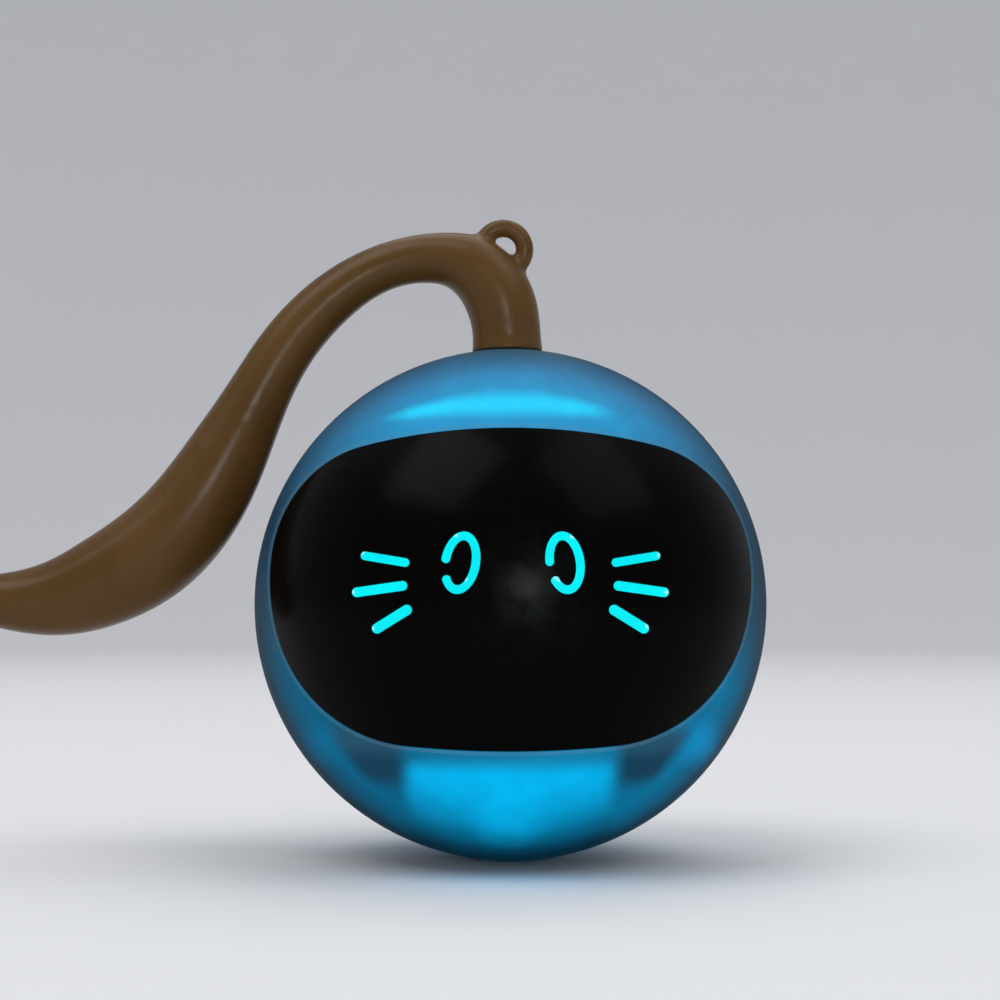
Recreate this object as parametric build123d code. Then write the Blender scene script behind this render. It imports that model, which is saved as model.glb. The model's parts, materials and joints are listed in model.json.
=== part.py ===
from build123d import *
from math import acos, cos, hypot, pi, radians, sin, sqrt, tan
import os

# Self-rolling cat ball with a silicone tail, in millimetres, +Z up.
# The face looks towards -Y. Every piece is drawn about the ball's centre.
# When the pieces are written they are lifted, so the ball touches the floor at Z = 0.

# Ball and shells
ball_r = 40.0
shell_wall = 2.2
lip_depth = 1.6
lip_root = 2.0
lip_wall = 1.25
lip_gap = 0.15
lip_weld = 0.55
rim_step = 0.45
rim_depth = 0.4

# Seam between the shells, a fine groove all round
seam_width = 0.3
seam_depth = 0.25

# Face opening, an outline in X and Z of four wide arcs with rounded corners, as shares of ball_r
opening_half_width_share = 0.9025
opening_top_share = 0.635
opening_bottom_share = 0.52
opening_top_arc_share = 2.75
opening_bottom_arc_share = 5.0
opening_side_arc_share = 0.7375
opening_side_height_share = 0.115
opening_upper_corner_share = 0.4475
opening_lower_corner_share = 0.5575

# Face lens, a dark window with a flange behind the edge of the shell
lens_sink = 0.3
lens_thickness = 2.3
lens_edge_gap = 0.15
lens_flange_wall = 0.95
lens_flange_gap = 0.25
lens_flange_width = 1.5
lens_flange_inset = 3.0
lens_back = 8.0

# Lit face drawing: two open rings for eyes and six strokes for whiskers
symbol_size = 10.0
stroke_width = 1.2
stroke_gap = 0.1
stroke_sink = 0.1
eye_half_width = 2.11
eye_half_height = 3.78
eye_height = 5.86
left_eye_x = -6.93
right_eye_x = 7.56
left_eye_lean = -10.0
right_eye_lean = 8.0
# Where each eye's ring opens and closes, in degrees
left_eye_gap = (177.0, 224.5)
right_eye_gap = (173.5, 217.5)
# Each whisker: X, Z, length and width as shares of symbol_size, then its slope in degrees
whisker_shares = [
    (1.765, 0.643, 0.712, 0.12, 9.8),
    (1.84, 0.223, 0.805, 0.135, -7.6),
    (1.66, -0.2, 0.645, 0.144, -31.2),
]

# Light guide and its housing behind the lens
guide_gap = 0.1
guide_thickness = 1.3
guide_weld = 0.2
guide_half_width = 23.0
guide_low = -6.5
guide_high = 12.5
guide_corner = 4.0
housing_wall = 1.2
housing_inset = 0.5
housing_floor = 1.0
housing_drop = 12.8

# Boards and small electronics
board_thickness = 1.6
board_corner = 1.5
board_gap = 0.3
led_length = 3.0
led_width = 2.0
led_height = 0.8
face_led_length = 1.8
face_led_width = 1.2
screw_shank_r = 0.75
screw_head_r = 1.5
screw_head_height = 1.0
screw_gap = 0.02
screw_tip_gap = 0.2
screw_slot_width = 0.4
screw_slot_depth = 0.4
screw_slot_share = 0.6

# Chassis: a split gearbox frame, clamped between the shells by four ears
chassis_half_width = 12.0
chassis_half_depth = 21.0
chassis_bottom = -22.0
chassis_top = 21.0
chassis_wall = 1.6
chassis_corner = 3.0
chassis_boss_r = 2.2
chassis_boss_inset = 3.5
chassis_screw_r = 0.9
chassis_head_r = 1.8
chassis_head_height = 1.1
chassis_screw_reach = 9.0
ear_thickness = 2.0
ear_weight_gap = 0.9
shelf_thickness = 1.2
shelf_gap = 0.3
standoff_r = 1.9
standoff_x = 10.5
standoff_low = -2.5
standoff_high = 8.5

# Shell posts and screws, in line along Y
post_r = 2.6
rear_post_r = 3.2
lower_post_x = 21.5
lower_post_z = -25.5
upper_post_x = 18.5
upper_post_z = 28.0
shell_screw_r = 1.0
shell_screw_hole_r = 1.25
shell_head_r = 1.9
shell_head_height = 1.3
shell_head_bore_r = 2.2
shell_head_seat = 9.0
shell_screw_tip = -9.0
shell_screw_bottom_gap = 1.0

# Gears: three equal stages on two pins and the weight axle
gear_module = 0.4
pinion_teeth = 12
wheel_teeth = 42
pressure_angle = 25.0
addendum_share = 0.9
dedendum_share = 1.25
tooth_slack = 0.05
flank_steps = 4
gear_width = 2.5
stage_a_x = -8.0
stage_b_x = -1.5
stage_c_x = 5.6
second_gear_angle = 50.0
first_gear_angle = 168.0
motor_angle = 190.0
pin_r = 0.75
pin_boss_r = 1.6
gear_bore_gap = 0.05
gear_end_gap = 0.2
pin_fit_gap = 0.02
wheel_hub_r = 2.6
wheel_hub_length = 2.5
wheel_web_inset = 1.3
wheel_web_recess = 0.6

# Motor
motor_can_width = 10.0
motor_can_height = 12.0
motor_can_length = 13.2
motor_can_corner = 2.2
motor_shaft_r = 0.5
motor_shaft_depth = 2.0
motor_boss_r = 1.6
motor_boss_length = 0.6
motor_rib = 1.2
motor_rib_gap = 0.2
motor_back_gap = 1.8
motor_tab = 0.8
motor_tab_height = 1.2
motor_tab_inset = 1.4

# Weight axle with its bushes and clips
axle_r = 1.5
axle_half_length = 26.2
axle_flat = 1.1
axle_gap = 0.04
bush_r = 2.6
bush_flange_r = 3.6
bush_flange = 0.8
clip_outer_r = 3.0
clip_thickness = 0.5
clip_groove_r = 1.15
clip_groove_gap = 0.05
clip_mouth = 1.6

# Swinging weights
weight_post_gap = 0.8
weight_inner = 13.5
weight_outer = 24.0
weight_angle = 160.0
weight_hub_r = 5.0
weight_hub_lead = 0.5
weight_edge = 0.8
weight_pocket_r = 2.4
weight_pocket_depth = 1.2
weight_pocket_ring_r = 16.0
weight_pocket_angles = (-125.0, -90.0, -55.0)

# Leads, straight inside the frame and through its walls
lead_r = 0.45
lead_gap = 0.15
battery_lead_x = 2.0
battery_lead_drop = 0.9
face_lead_x = 5.5
face_lead_pitch = 1.3
face_lead_z = -3.4

# Battery pouch
battery_width = 20.0
battery_height = 8.0
battery_gap = 0.2
battery_end_gap = 0.3
battery_corner = 1.6

# Light boards above and below the chassis
light_board_length = 30.0
light_board_depth = 6.0
light_board_thickness = 1.0
light_board_front = -14.0
light_led_count = 5
light_led_pitch = 6.0

# Main board on the rear shell
main_board_drop = 9.8
main_board_half_width = 17.0
main_board_half_height = 14.0
main_screw_x = 14.5
main_screw_z = 11.5
main_boss_r = 2.0
main_screw_reach = 3.0
chip_size = 6.0
chip_height = 1.2
chip_pitch = 9.0
chip_z = 3.0

# Power button and its switch
button_z = 7.0
button_r = 4.5
button_gap = 0.3
button_sink = 0.2
button_flange_r = 6.0
button_flange = 1.0
button_boss_r = 7.0
button_foot_r = 2.0
button_foot = 1.2
switch_size = 6.0
switch_height = 3.5
plunger_r = 1.7
plunger_gap = 0.3
plunger_rise = 0.5
plunger_length = 1.2
plunger_well = 1.3

# Charging port and its silicone cover
port_z = -9.0
socket_width = 9.2
socket_height = 3.4
socket_length = 7.3
socket_wall = 0.4
socket_tongue = 0.7
socket_tongue_depth = 1.2
port_gap = 0.35
cover_width = 16.2
cover_height = 9.0
cover_depth = 1.0
cover_floor_gap = 0.15
cover_sink = 0.05
cover_side_gap = 0.25
cover_corner = 2.5
cover_right = 8.0
anchor_width = 4.1
anchor_split = 0.2
anchor_floor_gap = 0.03
peg_r = 1.2
peg_gap = 0.05
peg_head_r = 1.9
peg_head = 1.0
peg_head_gap = 0.3
peg_x = -10.5
plug_width = 8.6
plug_height = 2.8
plug_depth = 0.8

# Tail: silicone round a rigid stem that turns in the top of the shells
stem_r = 3.92
stem_hole_r = 4.0
stem_flange_r = 6.0
stem_flange = 1.5
stem_flange_gap = 0.1
stem_collar_r = 7.0
stem_collar_drop = 2.6
stem_core_r = 3.0
stem_core_top = 8.0
stem_barb_r = 3.35
stem_barb = 1.2
stem_barb_heights = (2.6, 5.6)
stem_fit_gap = 0.05
tail_reach = 97.0
tail_root_r = 5.5
tail_root_overlap = 2.0
tail_gap = 0.15
# Centre line of the tail: distance from the axis of the swivel and height above the ball's top,
# both as shares of tail_reach, then the radius as a share of tail_root_r
tail_shares = [
    (0.005, 0.004, 1.00),
    (0.008, 0.046, 0.985),
    (0.019, 0.086, 1.00),
    (0.039, 0.117, 0.965),
    (0.067, 0.1385, 0.89),
    (0.103, 0.149, 0.76),
    (0.148, 0.149, 0.69),
    (0.195, 0.139, 0.665),
    (0.248, 0.1145, 0.690),
    (0.307, 0.069, 0.755),
    (0.361, 0.008, 0.81),
    (0.4115, -0.077, 0.92),
    (0.463, -0.175, 1.165),
    (0.5215, -0.2665, 1.335),
    (0.594, -0.336, 1.38),
    (0.667, -0.377, 1.285),
    (0.744, -0.4025, 1.07),
    (0.818, -0.406, 0.825),
    (0.886, -0.396, 0.600),
    (0.942, -0.369, 0.400),
    (0.979, -0.328, 0.265),
    (0.993, -0.290, 0.180),
]
# Ring for a cord on the tail's outer bend; its centre is placed as the points above are
loop_ring_r = 3.42
loop_wire_r = 1.45
loop_place_shares = (0.0119, 0.1638)

# One overrun serves every cut that has to pass right through
overrun = 5.0

# Places worked out from the sizes above
shell_inner_r = ball_r - shell_wall
opening_half_width = opening_half_width_share * ball_r
opening_top = opening_top_share * ball_r
opening_bottom = opening_bottom_share * ball_r
opening_top_arc = opening_top_arc_share * ball_r
opening_bottom_arc = opening_bottom_arc_share * ball_r
opening_side_arc = opening_side_arc_share * ball_r
opening_side_height = opening_side_height_share * ball_r
opening_upper_corner = opening_upper_corner_share * ball_r
opening_lower_corner = opening_lower_corner_share * ball_r
lens_outer_r = ball_r - lens_sink
lens_inner_r = lens_outer_r - lens_thickness
guide_outer_r = lens_inner_r - guide_gap
guide_inner_r = guide_outer_r - guide_thickness
housing_outer_r = guide_inner_r - guide_gap
chassis_inner_x = chassis_half_width - chassis_wall
chassis_inner_y = chassis_half_depth - chassis_wall
standoff_front = housing_drop - shell_inner_r
standoff_length = -chassis_half_depth - standoff_front
face_board_back = standoff_front - housing_floor
face_board_front = face_board_back - board_thickness
main_board_front = shell_inner_r - main_board_drop
main_board_back = main_board_front + board_thickness
plunger_top = main_board_back + switch_height + plunger_rise
button_seat = plunger_top + button_foot
socket_front = main_board_back + socket_length
gear_distance = gear_module * (pinion_teeth + wheel_teeth) / 2
weight_r = abs(lower_post_z) - rear_post_r - weight_post_gap
battery_low = chassis_bottom + chassis_wall + battery_gap
battery_length = 2 * (chassis_half_depth - chassis_boss_inset - chassis_boss_r - battery_end_gap)
shelf_low = battery_low + battery_height + shelf_gap
cover_outer_r = ball_r - cover_sink
cover_floor_r = ball_r - cover_depth
# The cover hinges about an upright line at the outermost point of the split
hinge_x = cover_right - cover_width - anchor_split / 2
hinge_z = port_z + cover_height / 2
hinge_y = sqrt(cover_outer_r**2 - hinge_x**2 - hinge_z**2)

low_end = (Align.CENTER, Align.CENTER, Align.MIN)


# Basic shapes

def rod_x(radius, low, high, y=0, z=0):
    return Pos(low, y, z) * Rot(0, 90, 0) * Cylinder(radius, high - low, align=low_end)


def rod_y(radius, low, high, x=0, z=0):
    return Pos(x, low, z) * Rot(-90, 0, 0) * Cylinder(radius, high - low, align=low_end)


def rod_z(radius, low, high, x=0, y=0):
    return Pos(x, y, low) * Cylinder(radius, high - low, align=low_end)


def block(x_low, x_high, y_low, y_high, z_low, z_high):
    middle = Pos((x_low + x_high) / 2, (y_low + y_high) / 2, (z_low + z_high) / 2)
    return middle * Box(x_high - x_low, y_high - y_low, z_high - z_low)


def ball_layer(inner_r, outer_r):
    return Sphere(outer_r) - Sphere(inner_r)


def prism_y(outline, low, high):
    """A sketch in X and Z, made solid from low to high along Y."""
    return Pos(0, high, 0) * extrude(Plane.XZ * outline, amount=high - low)


def prism_x(outline, low, high, y=0, z=0):
    """A sketch in Y and Z, made solid from low to high along X."""
    return Pos(low, y, z) * extrude(Plane.YZ * outline, amount=high - low)


def rounded_block_y(x_low, x_high, z_low, z_high, corner, y_low, y_high):
    outline = Pos((x_low + x_high) / 2, (z_low + z_high) / 2) * RectangleRounded(
        x_high - x_low, z_high - z_low, corner)
    return prism_y(outline, y_low, y_high)


def group(solids):
    return Compound(children=list(solids))


def polar(distance, angle, y=0, z=0):
    return (y + distance * cos(radians(angle)), z + distance * sin(radians(angle)))


second_gear_place = polar(gear_distance, second_gear_angle)
first_gear_place = polar(gear_distance, first_gear_angle, *second_gear_place)
motor_place = polar(gear_distance, motor_angle, *first_gear_place)
post_places = [
    (-lower_post_x, lower_post_z),
    (lower_post_x, lower_post_z),
    (-upper_post_x, upper_post_z),
    (upper_post_x, upper_post_z),
]


# Outlines of the face

def opening_outline(margin=0.0):
    """The face opening in X and Z, made larger all round by the margin."""
    side = (opening_half_width - opening_side_arc, opening_side_height)
    top = (0, opening_top - opening_top_arc)
    bottom = (0, opening_bottom_arc - opening_bottom)
    upper = right_meeting(top, opening_top_arc - opening_upper_corner,
                          side, opening_side_arc - opening_upper_corner)
    lower = right_meeting(bottom, opening_bottom_arc - opening_lower_corner,
                          side, opening_side_arc - opening_lower_corner)
    top_end = beyond(top, upper, opening_top_arc + margin)
    side_start = beyond(side, upper, opening_side_arc + margin)
    side_end = beyond(side, lower, opening_side_arc + margin)
    bottom_end = beyond(bottom, lower, opening_bottom_arc + margin)
    edges = [
        ThreePointArc(flipped(top_end), (0, opening_top + margin), top_end),
        ThreePointArc(flipped(bottom_end), (0, -opening_bottom - margin), bottom_end),
    ]
    for centre, start, end in ((upper, top_end, side_start), (side, side_start, side_end),
                               (lower, side_end, bottom_end)):
        middle = arc_middle(centre, start, end)
        edges.append(ThreePointArc(start, middle, end))
        edges.append(ThreePointArc(flipped(start), flipped(middle), flipped(end)))
    return make_face(edges)


def right_meeting(centre_a, radius_a, centre_b, radius_b):
    """The point with the larger X where two circles meet."""
    across = centre_b[0] - centre_a[0]
    up = centre_b[1] - centre_a[1]
    distance = hypot(across, up)
    along = (distance**2 + radius_a**2 - radius_b**2) / (2 * distance)
    aside = sqrt(radius_a**2 - along**2)
    x = centre_a[0] + (along * across + aside * abs(up)) / distance
    turn = 1 if up > 0 else -1
    return (x, centre_a[1] + (along * up - turn * aside * across) / distance)


def beyond(centre, through, radius):
    """The point of a circle that lies on the ray from its centre through another point."""
    across = through[0] - centre[0]
    up = through[1] - centre[1]
    factor = radius / hypot(across, up)
    return (centre[0] + across * factor, centre[1] + up * factor)


def arc_middle(centre, start, end):
    halfway = ((start[0] + end[0]) / 2, (start[1] + end[1]) / 2)
    return beyond(centre, halfway, hypot(start[0] - centre[0], start[1] - centre[1]))


def flipped(point):
    return (-point[0], point[1])


def eye_outline(x, lean, gap, margin):
    """An open ring, an ellipse's band with a gap on its left side and round ends."""
    half = stroke_width / 2 + margin
    band = Ellipse(eye_half_width + half, eye_half_height + half)
    band -= Ellipse(eye_half_width - half, eye_half_height - half)
    ends = [ellipse_point(angle) for angle in gap]
    reach = eye_half_height + stroke_width
    corner = (-reach, (ends[0][1] + ends[1][1]) / 2)
    band -= make_face(Polyline([(0, 0), stretch(ends[0], reach), corner, stretch(ends[1], reach), (0, 0)]))
    for end in ends:
        band += Pos(*end) * Circle(half)
    return Pos(x, eye_height) * Rot(0, 0, lean) * band


def ellipse_point(angle):
    return (eye_half_width * cos(radians(angle)), eye_half_height * sin(radians(angle)))


def stretch(point, reach):
    factor = reach / hypot(*point)
    return (point[0] * factor, point[1] * factor)


def whisker_outline(shares, side, margin):
    x, z, length, width, slope = shares
    long = length * symbol_size + 2 * margin
    wide = width * symbol_size + 2 * margin
    return Pos(side * x * symbol_size, z * symbol_size) * Rot(0, 0, side * slope) * SlotOverall(long, wide)


def face_strokes(margin, inner_r, outer_r):
    """The eight strokes of the face as solids between two radii of the ball."""
    outlines = [
        eye_outline(left_eye_x, left_eye_lean, left_eye_gap, margin),
        eye_outline(right_eye_x, right_eye_lean, right_eye_gap, margin),
    ]
    for shares in whisker_shares:
        outlines.append(whisker_outline(shares, -1, margin))
        outlines.append(whisker_outline(shares, 1, margin))
    layer = ball_layer(inner_r, outer_r)
    return [prism_y(outline, -ball_r - overrun, -lens_back) & layer for outline in outlines]


# Shells

def whole_shell():
    """Both shells as one hollow ball, with the tail's hole and collar."""
    shell = ball_layer(shell_inner_r, ball_r)
    collar_low = shell_inner_r - stem_collar_drop
    shell += rod_z(stem_collar_r, collar_low, ball_r) & Sphere(ball_r - shell_wall / 2)
    reach = ball_r + overrun
    shell -= rod_y(reach, -seam_width / 2, seam_width / 2) & ball_layer(ball_r - seam_depth, reach)
    return shell - rod_z(stem_hole_r, collar_low - overrun, reach)


def front_shell():
    reach = ball_r + overrun
    shell = whole_shell() & block(-reach, reach, -reach, 0, -reach, reach)
    wall_middle = Sphere(ball_r - shell_wall / 2)
    for x, z in post_places:
        post = rod_y(post_r, -ball_r, -ear_thickness / 2, x, z) & wall_middle
        tip = shell_screw_tip - shell_screw_bottom_gap
        shell += post - rod_y(shell_screw_r + screw_gap, tip, 0, x, z)
    shell -= prism_y(opening_outline(), -reach, 0)
    rim = prism_y(opening_outline(rim_step), -reach, -lens_back)
    return shell - (rim & ball_layer(ball_r - rim_depth, reach))


def rear_lip():
    """The ring that centres the rear shell in the front one, left open round the tail's collar."""
    outer_r = sqrt(shell_inner_r**2 - lip_depth**2) - lip_gap
    lip = rod_y(outer_r, -lip_depth, 0)
    lip += rod_y(outer_r + lip_weld, 0, lip_root)
    lip -= rod_y(outer_r - lip_wall, -lip_depth - overrun, lip_root + overrun)
    clear_r = stem_collar_r + lip_gap
    return lip - rod_z(clear_r, shell_inner_r - stem_collar_drop - overrun, ball_r)


def screw_post(x, z):
    """A rear post with a clearance hole and a deep bore for the screw's head."""
    post = rod_y(rear_post_r, ear_thickness / 2, ball_r, x, z)
    return post & Sphere(ball_r - shell_wall / 2)


def button_boss():
    boss = rod_y(button_boss_r, button_seat, ball_r, 0, button_z)
    return boss & Sphere(ball_r - shell_wall / 2)


def board_boss(x, z):
    boss = rod_y(main_boss_r, main_board_back, ball_r, x, z) & Sphere(ball_r - shell_wall / 2)
    return boss - rod_y(screw_shank_r + screw_gap, main_board_back, main_board_back + main_screw_reach, x, z)


def main_screw_places():
    return [(x, z) for x in (-main_screw_x, main_screw_x) for z in (-main_screw_z, main_screw_z)]


def cover_recess():
    """The shallow pocket that the port's cover lies in."""
    left = cover_right - cover_width - anchor_split - anchor_width - cover_side_gap
    right = cover_right + cover_side_gap
    half = cover_height / 2 + cover_side_gap
    corner = cover_corner + cover_side_gap
    pocket = rounded_block_y(left, right, port_z - half, port_z + half, corner, 0, ball_r + overrun)
    return pocket - Sphere(cover_floor_r)


def rear_shell():
    reach = ball_r + overrun
    shell = whole_shell() & block(-reach, reach, 0, reach, -reach, reach)
    shell += rear_lip()
    for x, z in post_places:
        shell += screw_post(x, z)
        shell -= rod_y(shell_screw_hole_r, 0, shell_head_seat, x, z)
        shell -= rod_y(shell_head_bore_r, shell_head_seat, reach, x, z)
    shell += button_boss()
    shell -= rod_y(button_r + button_gap, 0, reach, 0, button_z)
    for x, z in main_screw_places():
        shell += board_boss(x, z)
    shell -= cover_recess()
    half_x = socket_width / 2 + port_gap
    half_z = socket_height / 2 + port_gap
    shell -= rounded_block_y(-half_x, half_x, port_z - half_z, port_z + half_z, half_z - board_gap,
                             main_board_back, reach)
    return shell - rod_y(peg_r + peg_gap, main_board_back, reach, peg_x, port_z)


def shell_screws():
    screws = []
    for x, z in post_places:
        top = shell_head_seat + shell_head_height
        screw = rod_y(shell_screw_r, shell_screw_tip, shell_head_seat, x, z)
        screw += rod_y(shell_head_r, shell_head_seat, top, x, z)
        screws.append(screw - cross_slot_y(x, z, shell_head_r, top - screw_slot_depth, top + overrun))
    return group(screws)


def cross_slot_y(x, z, head_r, low, high):
    """A cross recess for a driver, from low to high along Y."""
    half = head_r * screw_slot_share
    wide = screw_slot_width / 2
    slot = block(x - half, x + half, low, high, z - wide, z + wide)
    return slot + block(x - wide, x + wide, low, high, z - half, z + half)


def board_screw(x, z, board_low, tip):
    """A small screw along Y whose head lies on the low side of a board."""
    top = board_low - screw_head_height
    screw = rod_y(screw_shank_r, board_low, tip, x, z) + rod_y(screw_head_r, top, board_low, x, z)
    return screw - cross_slot_y(x, z, screw_head_r, top - overrun, top + screw_slot_depth)


# Face

def face_lens():
    reach = ball_r + overrun
    window = prism_y(opening_outline(-lens_edge_gap), -reach, -lens_back)
    lens = window & ball_layer(lens_inner_r, lens_outer_r)
    flange_outer = shell_inner_r - lens_flange_gap
    flange = prism_y(opening_outline(lens_flange_width), -reach, -lens_back)
    flange -= prism_y(opening_outline(-lens_flange_inset), -reach, 0)
    flange &= ball_layer(flange_outer - lens_flange_wall, flange_outer)
    for x, z in post_places:
        flange -= rod_y(post_r + lens_flange_gap, -reach, 0, x, z)
    lens += flange
    for stroke in face_strokes(stroke_gap, lens_inner_r - overrun, lens_outer_r + overrun):
        lens -= stroke
    return lens


def face_light_guide():
    plate = rounded_block_y(-guide_half_width, guide_half_width, guide_low, guide_high, guide_corner,
                            -ball_r, 0)
    guide = plate & ball_layer(guide_inner_r, guide_outer_r)
    for stroke in face_strokes(0.0, guide_outer_r - guide_weld, lens_outer_r - stroke_sink):
        guide += stroke
    return guide


def face_tray(inset, y_low, y_high):
    """A rounded block that follows the light guide's outline, smaller by the inset."""
    half = guide_half_width - inset
    corner = guide_corner - inset
    return rounded_block_y(-half, half, guide_low + inset, guide_high - inset, corner, y_low, y_high)


def standoff_places():
    return [(x, z) for x in (-standoff_x, standoff_x) for z in (standoff_low, standoff_high)]


def face_light_housing():
    tray = face_tray(housing_inset, -ball_r, standoff_front) & Sphere(housing_outer_r)
    tray -= face_tray(housing_inset + housing_wall, -ball_r, face_board_back)
    for x, z in standoff_places():
        tray -= rod_y(screw_shank_r + screw_gap, face_board_back - overrun, standoff_front + overrun, x, z)
    for start, end, x, z in lead_places()["face"]:
        tray -= rod_y(lead_r + lead_gap, face_board_back - lead_gap, standoff_front + overrun, x, z)
    return tray


def face_led_board():
    board = face_tray(housing_inset + housing_wall + board_gap, face_board_front, face_board_back)
    for x, z in standoff_places():
        board -= rod_y(screw_shank_r + screw_gap, face_board_front - overrun, face_board_back + overrun, x, z)
    return board


def face_leds():
    places = [(left_eye_x, eye_height), (right_eye_x, eye_height)]
    for x, z, length, width, slope in whisker_shares:
        places.append((-x * symbol_size, z * symbol_size))
        places.append((x * symbol_size, z * symbol_size))
    half_x = face_led_length / 2
    half_z = face_led_width / 2
    top = face_board_front - led_height
    return group(block(x - half_x, x + half_x, top, face_board_front, z - half_z, z + half_z)
                 for x, z in places)


def face_board_screws():
    tip = standoff_front + standoff_length / 2
    return group(board_screw(x, z, face_board_front, tip) for x, z in standoff_places())


# Chassis

def ear(x, z):
    """A flat arm from the chassis to one pair of shell posts."""
    half = ear_thickness / 2
    side = 1 if x > 0 else -1
    inner = chassis_bottom + chassis_wall / 2 if z < 0 else chassis_top - chassis_wall / 2
    near = weight_r + ear_weight_gap
    far = abs(z) + post_r
    level = 1 if z > 0 else -1
    z_pair = sorted((level * near, level * far))
    x_pair = sorted((0, x))
    arm = block(*x_pair, -half, half, *z_pair)
    stem_x = sorted((0, side * chassis_half_width))
    stem_z = sorted((inner, level * far))
    arm += block(*stem_x, -half, half, *stem_z)
    arm += rod_y(post_r, -half, half, x, z)
    return arm - rod_y(shell_screw_hole_r, -half - overrun, half + overrun, x, z)


def chassis_corner_places():
    y = chassis_half_depth - chassis_boss_inset
    return [(side * y, z) for side in (-1, 1)
            for z in (chassis_bottom + chassis_boss_inset, chassis_top - chassis_boss_inset)]


def chassis_box():
    """The closed frame with its shelf, motor ribs, pin bosses and screw bosses."""
    height = chassis_top - chassis_bottom
    middle = (chassis_top + chassis_bottom) / 2
    outer = RectangleRounded(2 * chassis_half_depth, height, chassis_corner)
    inner = RectangleRounded(2 * chassis_inner_y, height - 2 * chassis_wall, chassis_corner - chassis_wall)
    box = prism_x(outer, -chassis_half_width, chassis_half_width, 0, middle)
    box -= prism_x(inner, -chassis_inner_x, chassis_inner_x, 0, middle)
    x = chassis_half_width - chassis_wall / 2
    y = chassis_half_depth - chassis_wall / 2
    box += block(-x, x, -y, y, shelf_low, shelf_low + shelf_thickness)
    for boss_y, boss_z in chassis_corner_places():
        box += rod_x(chassis_boss_r, -x, x, boss_y, boss_z)
    return box


def motor_ribs():
    """Two ribs on the front wall, below and above the motor's can."""
    y, z = motor_place
    front = -chassis_half_depth + chassis_wall / 2
    back = y + motor_can_width / 2 - motor_rib_gap
    x_low = -chassis_half_width + chassis_wall / 2
    x_high = motor_front()
    low = z - motor_can_height / 2 - motor_rib_gap
    high = z + motor_can_height / 2 + motor_rib_gap
    ribs = block(x_low, x_high, front, back, low - motor_rib, low)
    return ribs + block(x_low, x_high, front, back, high, high + motor_rib)


def pin_bosses():
    """Bosses on both side walls that keep the two loose gears in their planes."""
    wall = chassis_half_width - chassis_wall / 2
    y, z = second_gear_place
    bosses = rod_x(pin_boss_r, -wall, stage_a_x - gear_end_gap, y, z)
    bosses += rod_x(pin_boss_r, stage_b_x + gear_width + gear_end_gap, wall, y, z)
    y, z = first_gear_place
    bosses += rod_x(pin_boss_r, -wall, stage_b_x - gear_end_gap, y, z)
    return bosses + rod_x(pin_boss_r, stage_c_x + gear_width + gear_end_gap, wall, y, z)


def whole_chassis():
    chassis = chassis_box() + motor_ribs()
    chassis += pin_bosses()
    for x, z in post_places:
        chassis += ear(x, z)
    for x, z in standoff_places():
        standoff = rod_y(standoff_r, standoff_front, -chassis_half_depth + chassis_wall / 2, x, z)
        chassis += standoff
        chassis -= rod_y(screw_shank_r + screw_gap, standoff_front, -chassis_half_depth, x, z)
    reach = chassis_half_width + overrun
    for y, z in (second_gear_place, first_gear_place):
        chassis -= rod_x(pin_r + pin_fit_gap, -reach, reach, y, z)
    chassis -= rod_x(bush_r + pin_fit_gap, -reach, reach)
    for hole in lead_holes(-chassis_half_depth - overrun, chassis_half_depth + overrun):
        chassis -= hole
    return chassis


def chassis_left():
    reach = ball_r
    half = whole_chassis() & block(-reach, 0, -reach, reach, -reach, reach)
    for y, z in chassis_corner_places():
        half -= rod_x(chassis_screw_r + screw_gap, -reach, 0, y, z)
    return half


def chassis_right():
    reach = ball_r
    half = whole_chassis() & block(0, reach, -reach, reach, -reach, reach)
    for y, z in chassis_corner_places():
        half -= rod_x(chassis_screw_r + screw_gap, 0, chassis_screw_reach, y, z)
    return half


def chassis_screws():
    screws = []
    for y, z in chassis_corner_places():
        top = -chassis_half_width - chassis_head_height
        screw = rod_x(chassis_screw_r, -chassis_half_width, chassis_screw_reach, y, z)
        screw += rod_x(chassis_head_r, top, -chassis_half_width, y, z)
        screws.append(screw - cross_slot_x(y, z, chassis_head_r, top - overrun, top + screw_slot_depth))
    return group(screws)


def cross_slot_x(y, z, head_r, low, high):
    """A cross recess for a driver, from low to high along X."""
    half = head_r * screw_slot_share
    wide = screw_slot_width / 2
    slot = block(low, high, y - half, y + half, z - wide, z + wide)
    return slot + block(low, high, y - wide, y + wide, z - half, z + half)


# Drive

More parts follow.
